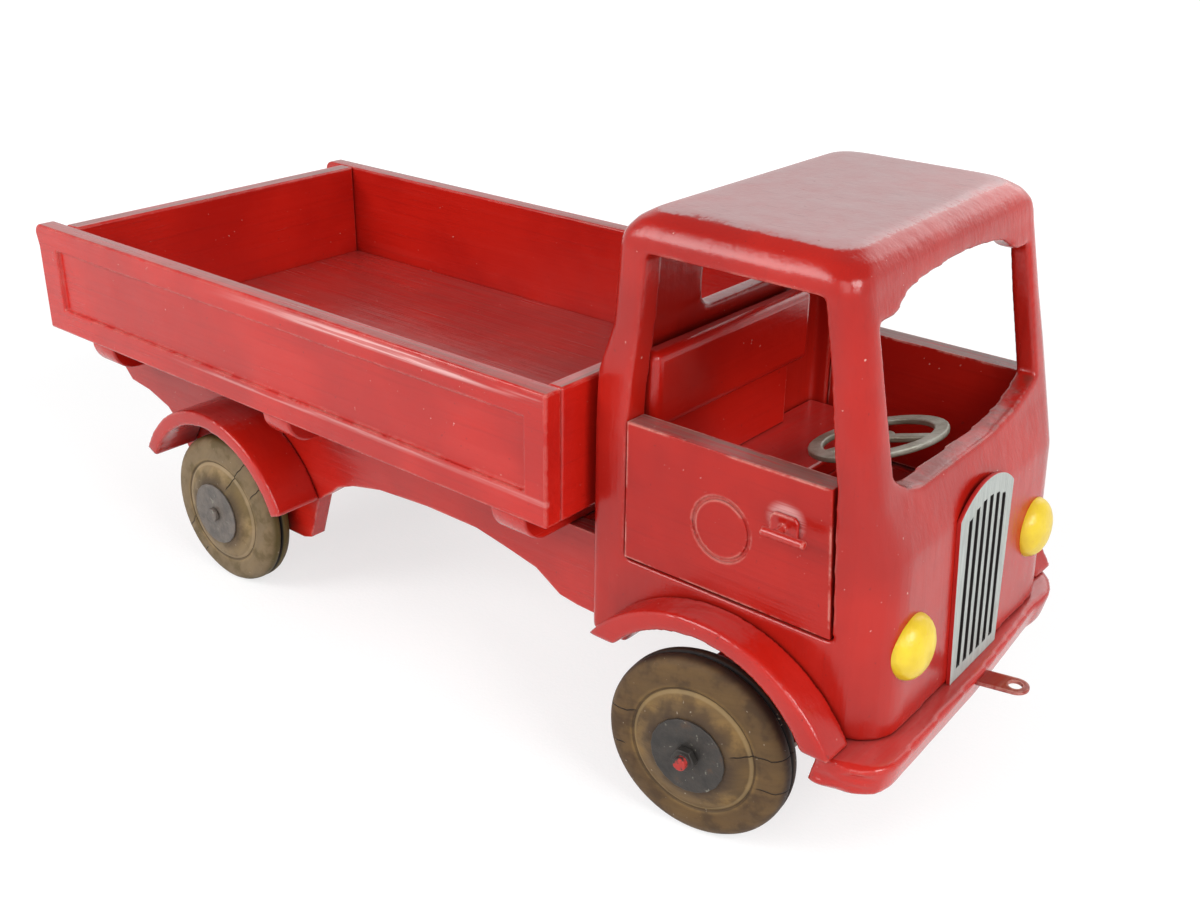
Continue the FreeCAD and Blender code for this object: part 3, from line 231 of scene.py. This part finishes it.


# The red paint: gloss brushed thickly over bare boards. Its brush marks and the grain run
# along the board; dust lies on what faces up and carries a painted sheen there too, the arrises
# are worn pale, and corners and joints, where surfaces close in, darken with painted shade.

def red_paint(name, along, dust_and_sheen=0.3, wear=0.5, dry=0.0, painted_shade=0.0, grainy=0.3, low_dust_and_sheen=1.0,
              gloss=0.47, scuffs_and_highlights=None):
    """Red for a board that runs along axis 0, 1 or 2, with dust and painted sheen on upward faces; a share
    of both is left below the roof.
    """
    # Taking the shade amount off the red makes a darker copy of this paint for pieces that get less light:
    # painted shade.
    bright, deep = (0.46 - painted_shade, 0.0105, 0.0052, 1), (0.385 - painted_shade, 0.008, 0.0045, 1)
    in_the_grain, dried = (0.27 - painted_shade, 0.006, 0.004, 1), (0.62, 0.075, 0.06, 1)
    dust_and_sheen_grey, hair_brown = (0.41, 0.33, 0.335, 1), (0.13, 0.05, 0.045, 1)
    bare_pink, chip_pink, scuff_and_highlight_pink = (0.6, 0.28, 0.23, 1), (0.7, 0.42, 0.36, 1), (0.8, 0.52, 0.5, 1)
    material, place = new_material(name)
    up = place.spot("Normal").part(2)
    fine, broad = [520.0] * 3, [110.0] * 3
    fine[along], broad[along] = 11.0, 7.0
    grain = place.noise(fine, 4.0, 0.6)
    brush = place.noise(broad, 3.0)
    cloud = place.noise((16.0, 16.0, 16.0), 3.0)
    patch = place.noise((60.0, 60.0, 60.0), 4.0, 0.65)
    speck = place.noise((420.0, 420.0, 420.0), 2.0)
    red = cloud.step(0.35, 0.65).lay(deep, bright)
    red = (grain.step(0.52, 0.72) * grainy).lay(red, in_the_grain)
    red = (brush.step(0.5, 0.75) * cloud.step(0.4, 0.6) * dry).lay(red, dried)

    # Upward faces turn pale grey: dust, and with it a painted sheen of the bright room above, strongest on
    # the cab's roof.
    ragged = up + (speck + patch - 1.0) * 0.07
    thick = patch * 0.5 + brush * grainy * 1.4 + 0.4 - grainy * 0.5
    dust_and_sheen_on_top = ragged.step(0.935, 0.993) * thick * dust_and_sheen
    if low_dust_and_sheen < 1:
        high = place.part(2).step(0.2, 0.25)
        dust_and_sheen_on_top = dust_and_sheen_on_top * (high * (1 - low_dust_and_sheen) + low_dust_and_sheen)
        # Upward faces below the roof's height are darkened in patches.
        low_tops_darkened = (1 - high) * up.step(0.6, 0.95) * patch.step(0.38, 0.6)
        red = (low_tops_darkened * 0.65).lay(red, (0.13, 0.03, 0.022, 1))
    red = dust_and_sheen_on_top.lay(red, dust_and_sheen_grey)
    hair = place.noise((70.0, 1000.0, 70.0), 2.0).step(0.67, 0.71)
    red = (hair * dust_and_sheen_on_top * 0.8).lay(red, hair_brown)
    if along < 2:
        rubbed = up.step(0.9, 0.995) * grain.step(0.42, 0.56) * grainy * dust_and_sheen * 7.0
        red = rubbed.lay(red, (0.2, 0.1, 0.085, 1))
    if scuffs_and_highlights:
        # Pale pink streaks where the given marks say: painted highlights along the bed's rails, and round
        # the door catch worn paint with a painted highlight.
        scuff_and_highlight = scuffs_and_highlights(place) * brush.step(0.4, 0.52) * (grain.step(0.42, 0.56) * 0.7 + 0.3)
        red = (scuff_and_highlight * 0.7).lay(red, scuff_and_highlight_pink)

    straight = place.node("ShaderNodeNewGeometry", None, None, "Normal")
    rounded = place.node("ShaderNodeBevel", {"samples": 6}, {"Radius": 0.0022})
    edge = 1 - rounded.along(straight)
    free = place.node("ShaderNodeAmbientOcclusion", {"samples": 6}, {"Distance": 0.006}, "AO")
    bare = edge.step(0.012, 0.09) * free.step(0.5, 0.9) * patch.step(0.42, 0.56) * wear
    red = bare.lay(red, bare_pink)
    chipped = edge.step(0.03, 0.12) * speck.step(0.6, 0.68) * wear
    red = (chipped * 0.8).lay(red, (0.16, 0.05, 0.04, 1))
    chip = speck.step(0.735, 0.76) * patch.step(0.5, 0.6)
    red = (chip * 0.6).lay(red, chip_pink)
    red = (speck.step(0.27, 0.25) * 0.5).lay(red, (0.12, 0.01, 0.01, 1))
    # Where other surfaces close in, at corners and joints, the red is darkened: painted shade.
    red = (free.step(0.6, 0.15) * 0.7).lay(red, (0.09, 0.008, 0.006, 1))
    roughness = 0.15 + grain * grainy * 0.3 + dust_and_sheen_on_top * 0.2 + bare * 0.25 + cloud * 0.1
    height = grain * grainy * 1.2 + brush * grainy * 2.2 + cloud * 1.6 + patch * 0.55 - chip * 0.2
    coat(place, red, roughness, height, 0.0006, Specular_IOR_Level=gloss)
    return material


# The bed: planed boards nailed to a box, its long sides sunk round a shallow panel, on
# three cross bearers. The pale streaks along its right side's rails are painted highlights.

bodies = {node: body for body, nodes in frame["record"]["behaviour"]["bodies"].items() for node in nodes}


def finished(name, shape, material, *nodes):
    """Make the worked shape a piece that stands for CAD nodes: on their body, with the given material, the
    nodes hidden.
    """
    mesh = bpy.data.meshes.new(name)
    shape.to_mesh(mesh)
    shape.free()
    mesh.materials.append(material)
    piece = bpy.data.objects.new(name, mesh)
    bpy.context.scene.collection.objects.link(piece)
    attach(piece, bodies[nodes[0]])
    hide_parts(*nodes)
    return piece


same_spot = 0.000002


def sanded(node, material, radius, rounds=3):
    """The board as the hand left it: its arrises sanded round, its curves without flats."""
    board = bmesh.new()
    board.from_mesh(frame["nodes"][node].data)
    bmesh.ops.remove_doubles(board, verts=board.verts, dist=same_spot)
    bmesh.ops.dissolve_limit(board, angle_limit=math.radians(1), verts=board.verts, edges=board.edges)
    bmesh.ops.recalc_face_normals(board, faces=board.faces)
    flat, limit = 0.02, math.radians(34)
    for face in board.faces:
        face.smooth = any(flat < side.calc_face_angle(0) < limit for side in face.edges)
    arrises = [side for side in board.edges if side.calc_face_angle(0) >= limit]
    made = bmesh.ops.bevel(board, geom=arrises, offset=radius, offset_type="OFFSET", segments=rounds,
                           profile=0.5, affect="EDGES", clamp_overlap=True, material=-1)
    for face in made["faces"]:
        face.smooth = True
    return finished(node + "_sanded", board, material, node)


def rail_highlights(place):
    """Pale streaks under the top rail and along the foot rail of the right side: painted highlights on the
    glossy boards.
    """
    forward, height = place.part(0), place.part(2)
    outside = place.part(1).step(-0.1175, -0.119)
    top = height.step(0.1950, 0.1975) * height.step(0.2015, 0.1995)
    top = top * forward.step(-0.14, 0.0) * forward.step(0.117, 0.11)
    foot = height.step(0.1465, 0.1480) * height.step(0.1505, 0.1490) * forward.step(-0.2, -0.1)
    return outside * top.most(foot * 0.5)


side_red = red_paint("bed_side_red", 0, dust_and_sheen=0.25, wear=1.0, dry=0.08, scuffs_and_highlights=rail_highlights)
for node in ("bed_side_right", "bed_side_left"):
    sanded(node, side_red, 0.0017, 4)
end_red = red_paint("bed_end_red", 1, dust_and_sheen=0.4, wear=0.9)
for node in ("bed_tailgate", "bed_headboard"):
    sanded(node, end_red, 0.0014)
sanded("bed_floor", red_paint("bed_floor_red", 0, dust_and_sheen=0.06, wear=0.2, painted_shade=0.03), 0.0006)
bearer_red = red_paint("bearer_red", 1, dust_and_sheen=0.1, wear=0.4)
for node in ("bed_bearer_rear", "bed_bearer_middle", "bed_bearer_front"):
    sanded(node, bearer_red, 0.0013)


# The chassis: two planks sawn to a wavy outline, with plain blocks between them that hold
# them apart. Their arrises are sanded and they are painted like the bed.

plank_red = red_paint("plank_red", 0, dust_and_sheen=0.2, wear=0.5, dry=0.1, painted_shade=0.03)
for node in ("chassis_side_right", "chassis_side_left", "chassis_block_rear", "chassis_block_front"):
    sanded(node, plank_red, 0.0018)


# The cab: posts, panels, back and roof glued up, filled and carved to one round form, so
# thickly painted that no joint shows between them.

def carved(name, nodes, material, cell, rounds, change=None, keep=1.0):
    """Boards filled to one block, cell by cell, and rubbed down smooth, so many rounds.

    Keep is the share of the faces that is left. After that, change may still dent the shape.
    """
    block = bmesh.new()
    for node in nodes:
        block.from_mesh(frame["nodes"][node].data)
    bmesh.ops.remove_doubles(block, verts=block.verts, dist=same_spot)
    mesh = bpy.data.meshes.new(name + "_rough")
    block.to_mesh(mesh)
    block.free()
    rough = bpy.data.objects.new(name + "_rough", mesh)
    bpy.context.scene.collection.objects.link(rough)
    filled = rough.modifiers.new("filled", "REMESH")
    filled.mode = "VOXEL"
    filled.voxel_size = cell
    rubbed = rough.modifiers.new("rubbed", "SMOOTH")
    rubbed.factor, rubbed.iterations = 0.5, rounds
    if keep < 1:
        rough.modifiers.new("thinned", "DECIMATE").ratio = keep
    smooth = bpy.data.meshes.new_from_object(rough.evaluated_get(bpy.context.evaluated_depsgraph_get()))
    bpy.data.objects.remove(rough)
    surface = bmesh.new()
    surface.from_mesh(smooth)
    for face in surface.faces:
        face.smooth = True
    if change:
        change(surface)
    finished(name, surface, material, *nodes)


cab_red = red_paint("cab_red", 2, dust_and_sheen=0.85, wear=1.0, grainy=0.16, painted_shade=0.07, low_dust_and_sheen=0.15, gloss=0.4)
cab_boards = ("cab_front", "cab_side_right", "cab_side_left", "cab_back", "cab_roof")
carved("cab_shell", cab_boards, cab_red, 0.001, 26, keep=0.4)


# The seat: a board on a riser with a thick rounded backrest, nailed to the cab's floor and
# painted in the same red, which has kept its gloss in here.

seat_red = red_paint("seat_red", 1, dust_and_sheen=0.06, wear=0.35, grainy=0.15)
for node, radius in (("cab_floor", 0.0006), ("seat_board", 0.002), ("seat_front", 0.001),
                     ("seat_riser", 0.001), ("seat_backrest", 0.0045)):
    sanded(node, seat_red, radius, 4)


# The doors: flat boards hung at their rear edge, with a ring scribed in the face and an iron
# catch screwed on, painted over; the paint round the catch is rubbed pale by fingers, and that
# pale patch also holds a painted highlight.

def finger_wear_and_highlight(place):
    # A pale patch at the top of the catch: paint worn by fingers, and a painted highlight.
    low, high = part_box("door_handle_right")
    thumb = Vector((low[0] + 0.007, 0.0, high[2] - 0.003))
    near = place.away(thumb).vector("MULTIPLY", (1.0, 0.0, 1.1)).length().step(0.011, 0.005)
    outside = abs(place.part(1)).step(0.0925, 0.0935)
    return near * 0.7 * outside


door_red = red_paint("door_red", 0, dust_and_sheen=0.6, wear=1.0, grainy=0.2, painted_shade=0.07, low_dust_and_sheen=0.3, gloss=0.3,
                     scuffs_and_highlights=finger_wear_and_highlight)
for node in ("door_right", "door_left"):
    sanded(node, door_red, 0.0013)
iron_red = red_paint("iron_red", 0, dust_and_sheen=0.1, wear=1.0, grainy=0.1, painted_shade=0.04)
for node in ("door_handle_right", "door_handle_left"):
    carved(node + "_iron", (node,), iron_red, 0.00045, 4)


# The fenders: thick strips bent over the wheels, rubbed round along both edges. The rear
# ends of the front pair are frayed where the wood has broken away under the paint.

def frayed(surface):
    foot, torn_height, middle, fibres = 0.074, 0.010, 0.18, 330.0
    for point in surface.verts:
        low = 1 - min(1.0, max(0.0, (point.co.z - foot) / torn_height))
        if point.co.x < middle and low:
            tear = noise.noise(Vector((point.co.x * fibres, point.co.y * fibres, 0.0)))
            point.co.z += low * (0.0016 + 0.0028 * tear)


fender_red = red_paint("fender_red", 0, dust_and_sheen=0.08, wear=0.8, grainy=0.12, painted_shade=0.03)
for node, change in (("fender_rear_right", None), ("fender_rear_left", None),
                     ("fender_front_right", frayed), ("fender_front_left", frayed)):
    carved(node + "_bent", (node,), fender_red, 0.0014, 6, change)


# The bumper: a thick board with a bull nose and round ends, the right one chewed, and a
# flat iron strap let into it for the pull cord.

def chewed(surface):
    sound_half, chewed_length = 0.098, 0.012
    for point in surface.verts:
        out = min(1.0, max(0.0, (-point.co.y - sound_half) / chewed_length))
        if out:
            bite = noise.noise(Vector((point.co.x * 90.0, 0.0, point.co.z * 330.0)))
            point.co.y += out * (0.0040 + 0.0018 * bite)


bumper_red = red_paint("bumper_red", 1, dust_and_sheen=0.12, wear=1.0, grainy=0.12, painted_shade=0.03)
carved("bumper_rounded", ("bumper",), bumper_red, 0.0014, 14, chewed)
sanded("pull_tab", red_paint("tab_red", 1, dust_and_sheen=0.0, wear=0.9, painted_shade=0.2), 0.0003, 2)


# The grille: a thin board with an arched head, nailed to the front panel and painted pale
# grey; its slots are blacked in by hand and its sides are red.

lean, slant = math.atan(3.3 / 84.0), math.atan(0.035)
outward = Vector((math.cos(lean) * math.cos(slant), math.cos(lean) * math.sin(slant), math.sin(lean)))
level = Vector((-math.sin(slant), math.cos(slant), 0.0))
cad_thick, thick = 0.005, 0.002
panel_foot = Vector((0.2753, 0.0, 0.074))
cad_face = panel_foot + outward * cad_thick
real_face = panel_foot + outward * thick
slot_pitch, slot_half, slots_half_width = 0.00713, 0.00205, 0.021
grille_paint, place = new_material("grille_paint")
from_foot = place.away(real_face)
depth = from_foot.along(outward)
side_wall = place.spot("Normal").along(outward).step(0.8, 0.6)
strokes = place.noise((300.0, 900.0, 60.0), 3.0)
stain = place.noise((60.0, 60.0, 60.0), 4.0, 0.6)
pale = strokes.step(0.3, 0.7).lay((0.3, 0.32, 0.305, 1), (0.4, 0.425, 0.4, 1))
pale = (stain.step(0.55, 0.75) * 0.4).lay(pale, (0.27, 0.26, 0.22, 1))
rim = abs(place.part(1)).step(0.0215, 0.0222)
head = place.part(2).step(0.1615, 0.163)
red_side = side_wall * rim.most(head)
pale = red_side.lay(pale, (0.42, 0.012, 0.009, 1))
beside = from_foot.along(level)
above = from_foot.along(outward.cross(level))
row = beside / slot_pitch
row = row - row.math("FLOOR", row) - 0.5
ragged = stain * 0.0008 + strokes * 0.0004 - 0.0006
line = (abs(row) * slot_pitch + ragged).step(slot_half + 0.00015, slot_half - 0.00015)
line = line * abs(beside).step(slots_half_width + 0.0002, slots_half_width - 0.0002)
line = line * (above + ragged).step(0.0060, 0.0066)
line = line * (above + beside * beside * 13.5 + ragged).step(0.0858, 0.0852)
black = line.most(depth.step(0.0, -0.0003) * side_wall) * (1 - red_side)
pale = black.lay(pale, (0.012, 0.009, 0.009, 1))
coat(place, pale, strokes * 0.2 + 0.4, strokes * 0.6 + stain, 0.0004, Specular_IOR_Level=0.4)
grille = sanded("grille", grille_paint, 0.0003, 2)
for point in grille.data.vertices:
    proud = (point.co - cad_face).dot(outward) + cad_thick
    point.co -= outward * proud * (1 - thick / cad_thick)


# The lamps: turned wooden domes glued to the panel and painted a warm yellow, which has
# gone a little darker in flecks.

def lathed(name, section, steps, stand, material, node):
    """Turn a section, (radius, height) in millimetres, about an axis that stand puts in place."""
    body = bmesh.new()
    ring = [body.verts.new((radius / 1000, 0.0, out / 1000)) for radius, out in section]
    links = [body.edges.new(pair) for pair in zip(ring, ring[1:])]
    bmesh.ops.spin(body, geom=ring + links, cent=(0, 0, 0), axis=(0, 0, 1), dvec=(0, 0, 0),
                   angle=2 * math.pi, steps=steps, use_merge=True)
    bmesh.ops.remove_doubles(body, verts=body.verts, dist=0.000005)
    bmesh.ops.recalc_face_normals(body, faces=body.faces)
    bmesh.ops.transform(body, matrix=stand, verts=body.verts)
    for face in body.faces:
        face.smooth = True
    finished(name, body, material, node)


yellow, place = new_material("lamp_yellow")
cloud = place.noise((90.0, 90.0, 90.0), 3.0)
fleck = place.noise((500.0, 500.0, 500.0), 2.0)
paint = cloud.step(0.3, 0.7).lay((0.64, 0.45, 0.014, 1), (0.7, 0.52, 0.02, 1))
paint = (fleck.step(0.66, 0.72) * 0.4).lay(paint, (0.6, 0.33, 0.03, 1))
coat(place, paint, cloud * 0.1 + 0.3, cloud * 1.4 + fleck * 0.1, 0.0009)
dome_section = ((15.2, -3.0), (15.2, -0.2), (15.05, 0.9), (14.5, 2.4), (13.4, 4.0), (11.7, 5.5),
                (9.3, 6.8), (6.4, 7.6), (3.3, 8.1), (0.0, 8.2))
facing = Matrix.Rotation(slant, 4, "Z") @ Matrix.Rotation(math.pi / 2 - lean, 4, "Y")
for node, foot in (("headlamp_right", (0.2760, -0.065, 0.1137)),
                   ("headlamp_left", (0.2713, 0.065, 0.1182))):
    lathed(node + "_dome", dome_section, 40, Matrix.Translation(foot) @ facing, yellow, node)


# The wheels: turned from solid wood with a raised hub, a scribed ring and a groove round
# the tread. Oil and dirt have stained them and they have cracked along the grain.

wheel_section = ((3.3, 3.6), (19.0, 3.9), (21.0, 3.6), (23.5, 2.8), (27.5, 1.2), (30.2, 0.25), (30.7, -0.5),
                 (31.3, -0.7), (31.9, -0.4), (32.5, 0.0), (36.5, 0.0), (40.5, -0.15), (43.0, -0.8),
                 (44.9, -2.1), (46.0, -3.8), (46.4, -5.6), (46.5, -7.0), (46.2, -7.5), (44.6, -8.1),
                 (44.1, -8.6), (44.6, -9.1), (46.2, -9.6), (46.5, -10.1), (46.4, -11.6), (46.0, -13.3),
                 (44.9, -15.1), (43.0, -16.3), (40.0, -16.9), (3.3, -17.0))
rest_turn = math.radians(7.5)
toe = Vector((math.sin(rest_turn), -math.cos(rest_turn), 0.0))
sideways = Vector((0.0, -1.0, 0.0))
pin_to_face = 0.035
wheels = {
    "front_right": (Vector((0.1920, -0.076, 0.0465)) + toe * pin_to_face, toe, 0.0, 0.15),
    "front_left": (Vector((0.1920, 0.076, 0.0465)) - toe * pin_to_face, -toe, 0.0, 1.9),
    "rear_right": (Vector((-0.1626, -0.105, 0.0465)), sideways, 0.07, 0.9),
    "rear_left": (Vector((-0.1626, 0.105, 0.0465)), -sideways, 0.05, 2.6),
}
cracks = ((0.015, -1, 0.031), (-0.004, -1, 0.036), (0.004, 1, 0.021), (-0.013, 1, 0.033))


def wheel_wood(name, centre, axle, lighter, turn):
    """Wood stained in rings about the axle, its grain and cracks running straight across."""
    def brown(red, green, blue, more=(1.0, 0.9, 0.6)):
        """A brown, as much lighter as this wheel is."""
        return tuple(tone + lighter * gain for tone, gain in zip((red, green, blue), more)) + (1,)

    material, place = new_material(name)
    top = Vector((0, 0, 1))
    forward = top.cross(axle)
    away = place.away(centre)
    out = away.along(axle)
    length = away.along(forward * math.cos(turn) + top * math.sin(turn))
    width = away.along(forward * -math.sin(turn) + top * math.cos(turn))
    radius = place.math("SQRT", length * length + width * width)
    board = place.node("ShaderNodeCombineXYZ", None, {0: length, 1: width, 2: out})
    grain = board.noise((20.0, 480.0, 260.0), 4.0, 0.6)
    figure = board.noise((12.0, 90.0, 50.0), 3.0)
    stain = board.noise((55.0, 55.0, 55.0), 4.0, 0.6)
    light = brown(0.215, 0.128, 0.044, (1.0, 0.95, 0.65))
    wood = figure.step(0.35, 0.65).lay(brown(0.14, 0.086, 0.036), light)
    wood = (grain.step(0.45, 0.7) * 0.3).lay(wood, brown(0.09, 0.055, 0.028, (1.0, 0.8, 0.6)))
    tyre = radius.step(0.0318, 0.0345)
    wood = (tyre * (stain * 0.5 + 0.5)).lay(wood, brown(0.08, 0.044, 0.019))
    wood = (stain.step(0.45, 0.6) * 0.55).lay(wood, brown(0.042, 0.024, 0.014, (0.5, 0.4, 0.0)))
    soaked = radius.step(0.0285, 0.0195) * figure.step(0.25, 0.55)
    wood = (soaked * 0.75).lay(wood, (0.04, 0.026, 0.02, 1))
    front = out.step(-0.004, -0.0015)
    # The lip just inside the scribed ring is lightened: a painted highlight.
    lip_highlight = radius.step(0.0290, 0.0300) * radius.step(0.0314, 0.0306) * front
    wood = (lip_highlight * 0.5).lay(wood, brown(0.3, 0.21, 0.1, (1.0, 1.0, 1.0)))
    groove = radius.step(0.0309, 0.0313) * radius.step(0.0326, 0.0319) * front
    wood = (groove * 0.6).lay(wood, (0.045, 0.028, 0.018, 1))
    tread = out.step(-0.0015, -0.005)
    wood = (tread * (stain * 0.6 + 0.6)).lay(wood, brown(0.028, 0.015, 0.011, (0.6, 0.5, 0.0)))
    sawn = abs(out + 0.0086).step(0.0014, 0.0007) * radius.step(0.043, 0.044)
    wood = sawn.lay(wood, (0.006, 0.004, 0.004, 1))
    wander = board.noise((70.0, 9.0, 9.0), 3.0) * 0.006 - 0.003
    cracked = sawn * 0
    for offset, side, start in cracks:
        line = abs(width + wander - offset).step(0.0004, 0.0001) * radius.step(start, start + 0.003)
        cracked = cracked.most(line * (length * side).step(0.0, 0.004))
    wood = (cracked * 0.85).lay(wood, (0.012, 0.008, 0.006, 1))
    chip = board.noise((380.0, 380.0, 380.0), 2.0).step(0.72, 0.76)
    wood = (chip * 0.5).lay(wood, (0.4, 0.34, 0.26, 1))
    height = grain * 0.2 + figure * 0.5 + stain * 0.7 - cracked * 1.2 - groove * 0.3
    coat(place, wood, grain * 0.15 + stain * 0.2 + 0.4, height, 0.0009, Specular_IOR_Level=0.2)
    return material


for corner, (centre, axle, lighter, turn) in wheels.items():
    stand = Matrix.Translation(centre) @ axle.to_track_quat("Z", "Y").to_matrix().to_4x4()
    wood = wheel_wood("wheel_wood_" + corner, centre, axle, lighter, turn)
    lathed("wheel_%s_turned" % corner, wheel_section, 120, stand, wood, "wheel_" + corner)


# The hub metal: discs cut from sheet with snips, held by a nut on a bolt in front and a
# screw behind, all gone dark; a dab of red paint has stayed on the bolt's end.

def hub_metal(name, tone, centre, axle, dabbed):
    material, place = new_material(name)
    scratch = place.noise((500.0, 120.0, 500.0), 4.0, 0.65)
    rust = place.noise((110.0, 110.0, 110.0), 4.0, 0.6)
    mark = place.noise((240.0, 240.0, 240.0), 3.0)
    dark, pale = (tone, tone * 0.88, tone * 0.78, 1), (tone * 1.6, tone * 1.35, tone * 1.15, 1)
    metal = rust.step(0.35, 0.65).lay(dark, pale)
    metal = (rust.step(0.6, 0.75) * 0.6).lay(metal, (0.09, 0.045, 0.022, 1))
    metal = (mark.step(0.66, 0.72) * 0.5).lay(metal, (0.26, 0.25, 0.2, 1))
    if dabbed:
        bolt_end = place.away(centre).along(axle).step(0.0096, 0.0104)
        metal = (bolt_end * mark.step(0.4, 0.5)).lay(metal, (0.38, 0.025, 0.02, 1))
    coat(place, metal, scratch * 0.25 + 0.38, scratch * 0.5 + rust * 1.2, 0.0005, Metallic=0.25)
    return material


for corner, (centre, axle, lighter, turn) in wheels.items():
    tone = 0.09 if lighter else 0.026
    metal = hub_metal("hub_metal_" + corner, tone, centre, axle, corner.startswith("front"))
    sanded("hub_washer_" + corner, metal, 0.0003, 2)
    sanded("hub_nut_" + corner, metal, 0.0003, 2)


# The steering wheel: one dull grey casting with three flat spokes, pitted and tarnished,
# pinned to a steel rod that goes down through the cab's floor.

helm_grey, place = new_material("helm_grey")
pit = place.noise((420.0, 420.0, 420.0), 4.0, 0.6)
tarnish = place.noise((70.0, 70.0, 70.0), 4.0, 0.6)
up = place.spot("Normal").part(2)
grey = tarnish.step(0.35, 0.65).lay((0.2, 0.19, 0.145, 1), (0.34, 0.34, 0.29, 1))
# Faces turned down are darkened to brown: painted shade.
grey = (up.step(0.6, 0.0) * 0.7).lay(grey, (0.09, 0.06, 0.035, 1))
coat(place, grey, pit * 0.25 + 0.32, pit * 0.8 + tarnish, 0.0006, Metallic=0.35)
sanded("steering_wheel", helm_grey, 0.0008, 3)


# The gear under the cab: round steel and flat iron, rusty in patches, on a wooden beam
# and bolster in dull red. These keep the CAD part's own form and only take a finish.

def painted(node, material):
    frame["nodes"][node].material_slots[0].material = material


steel, place = new_material("dull_steel")
drawn = place.noise((600.0, 600.0, 600.0), 4.0, 0.6)
rust = place.noise((90.0, 90.0, 90.0), 4.0, 0.6)
grey = rust.step(0.4, 0.65).lay((0.1, 0.095, 0.09, 1), (0.16, 0.09, 0.055, 1))
coat(place, grey, drawn * 0.25 + 0.35, drawn + rust, 0.0004, Metallic=0.5)
for node in ("steering_column", "rear_axle", "kingpin_right", "kingpin_left", "knuckle_right",
             "knuckle_left", "tie_bar"):
    painted(node, steel)
# The beam and bolster sit under the cab, so their red is darkened with painted shade.
under_red = red_paint("under_red", 1, dust_and_sheen=0.1, wear=0.4, painted_shade=0.1)
for node in ("front_axle_beam", "axle_bolster"):
    painted(node, under_red)
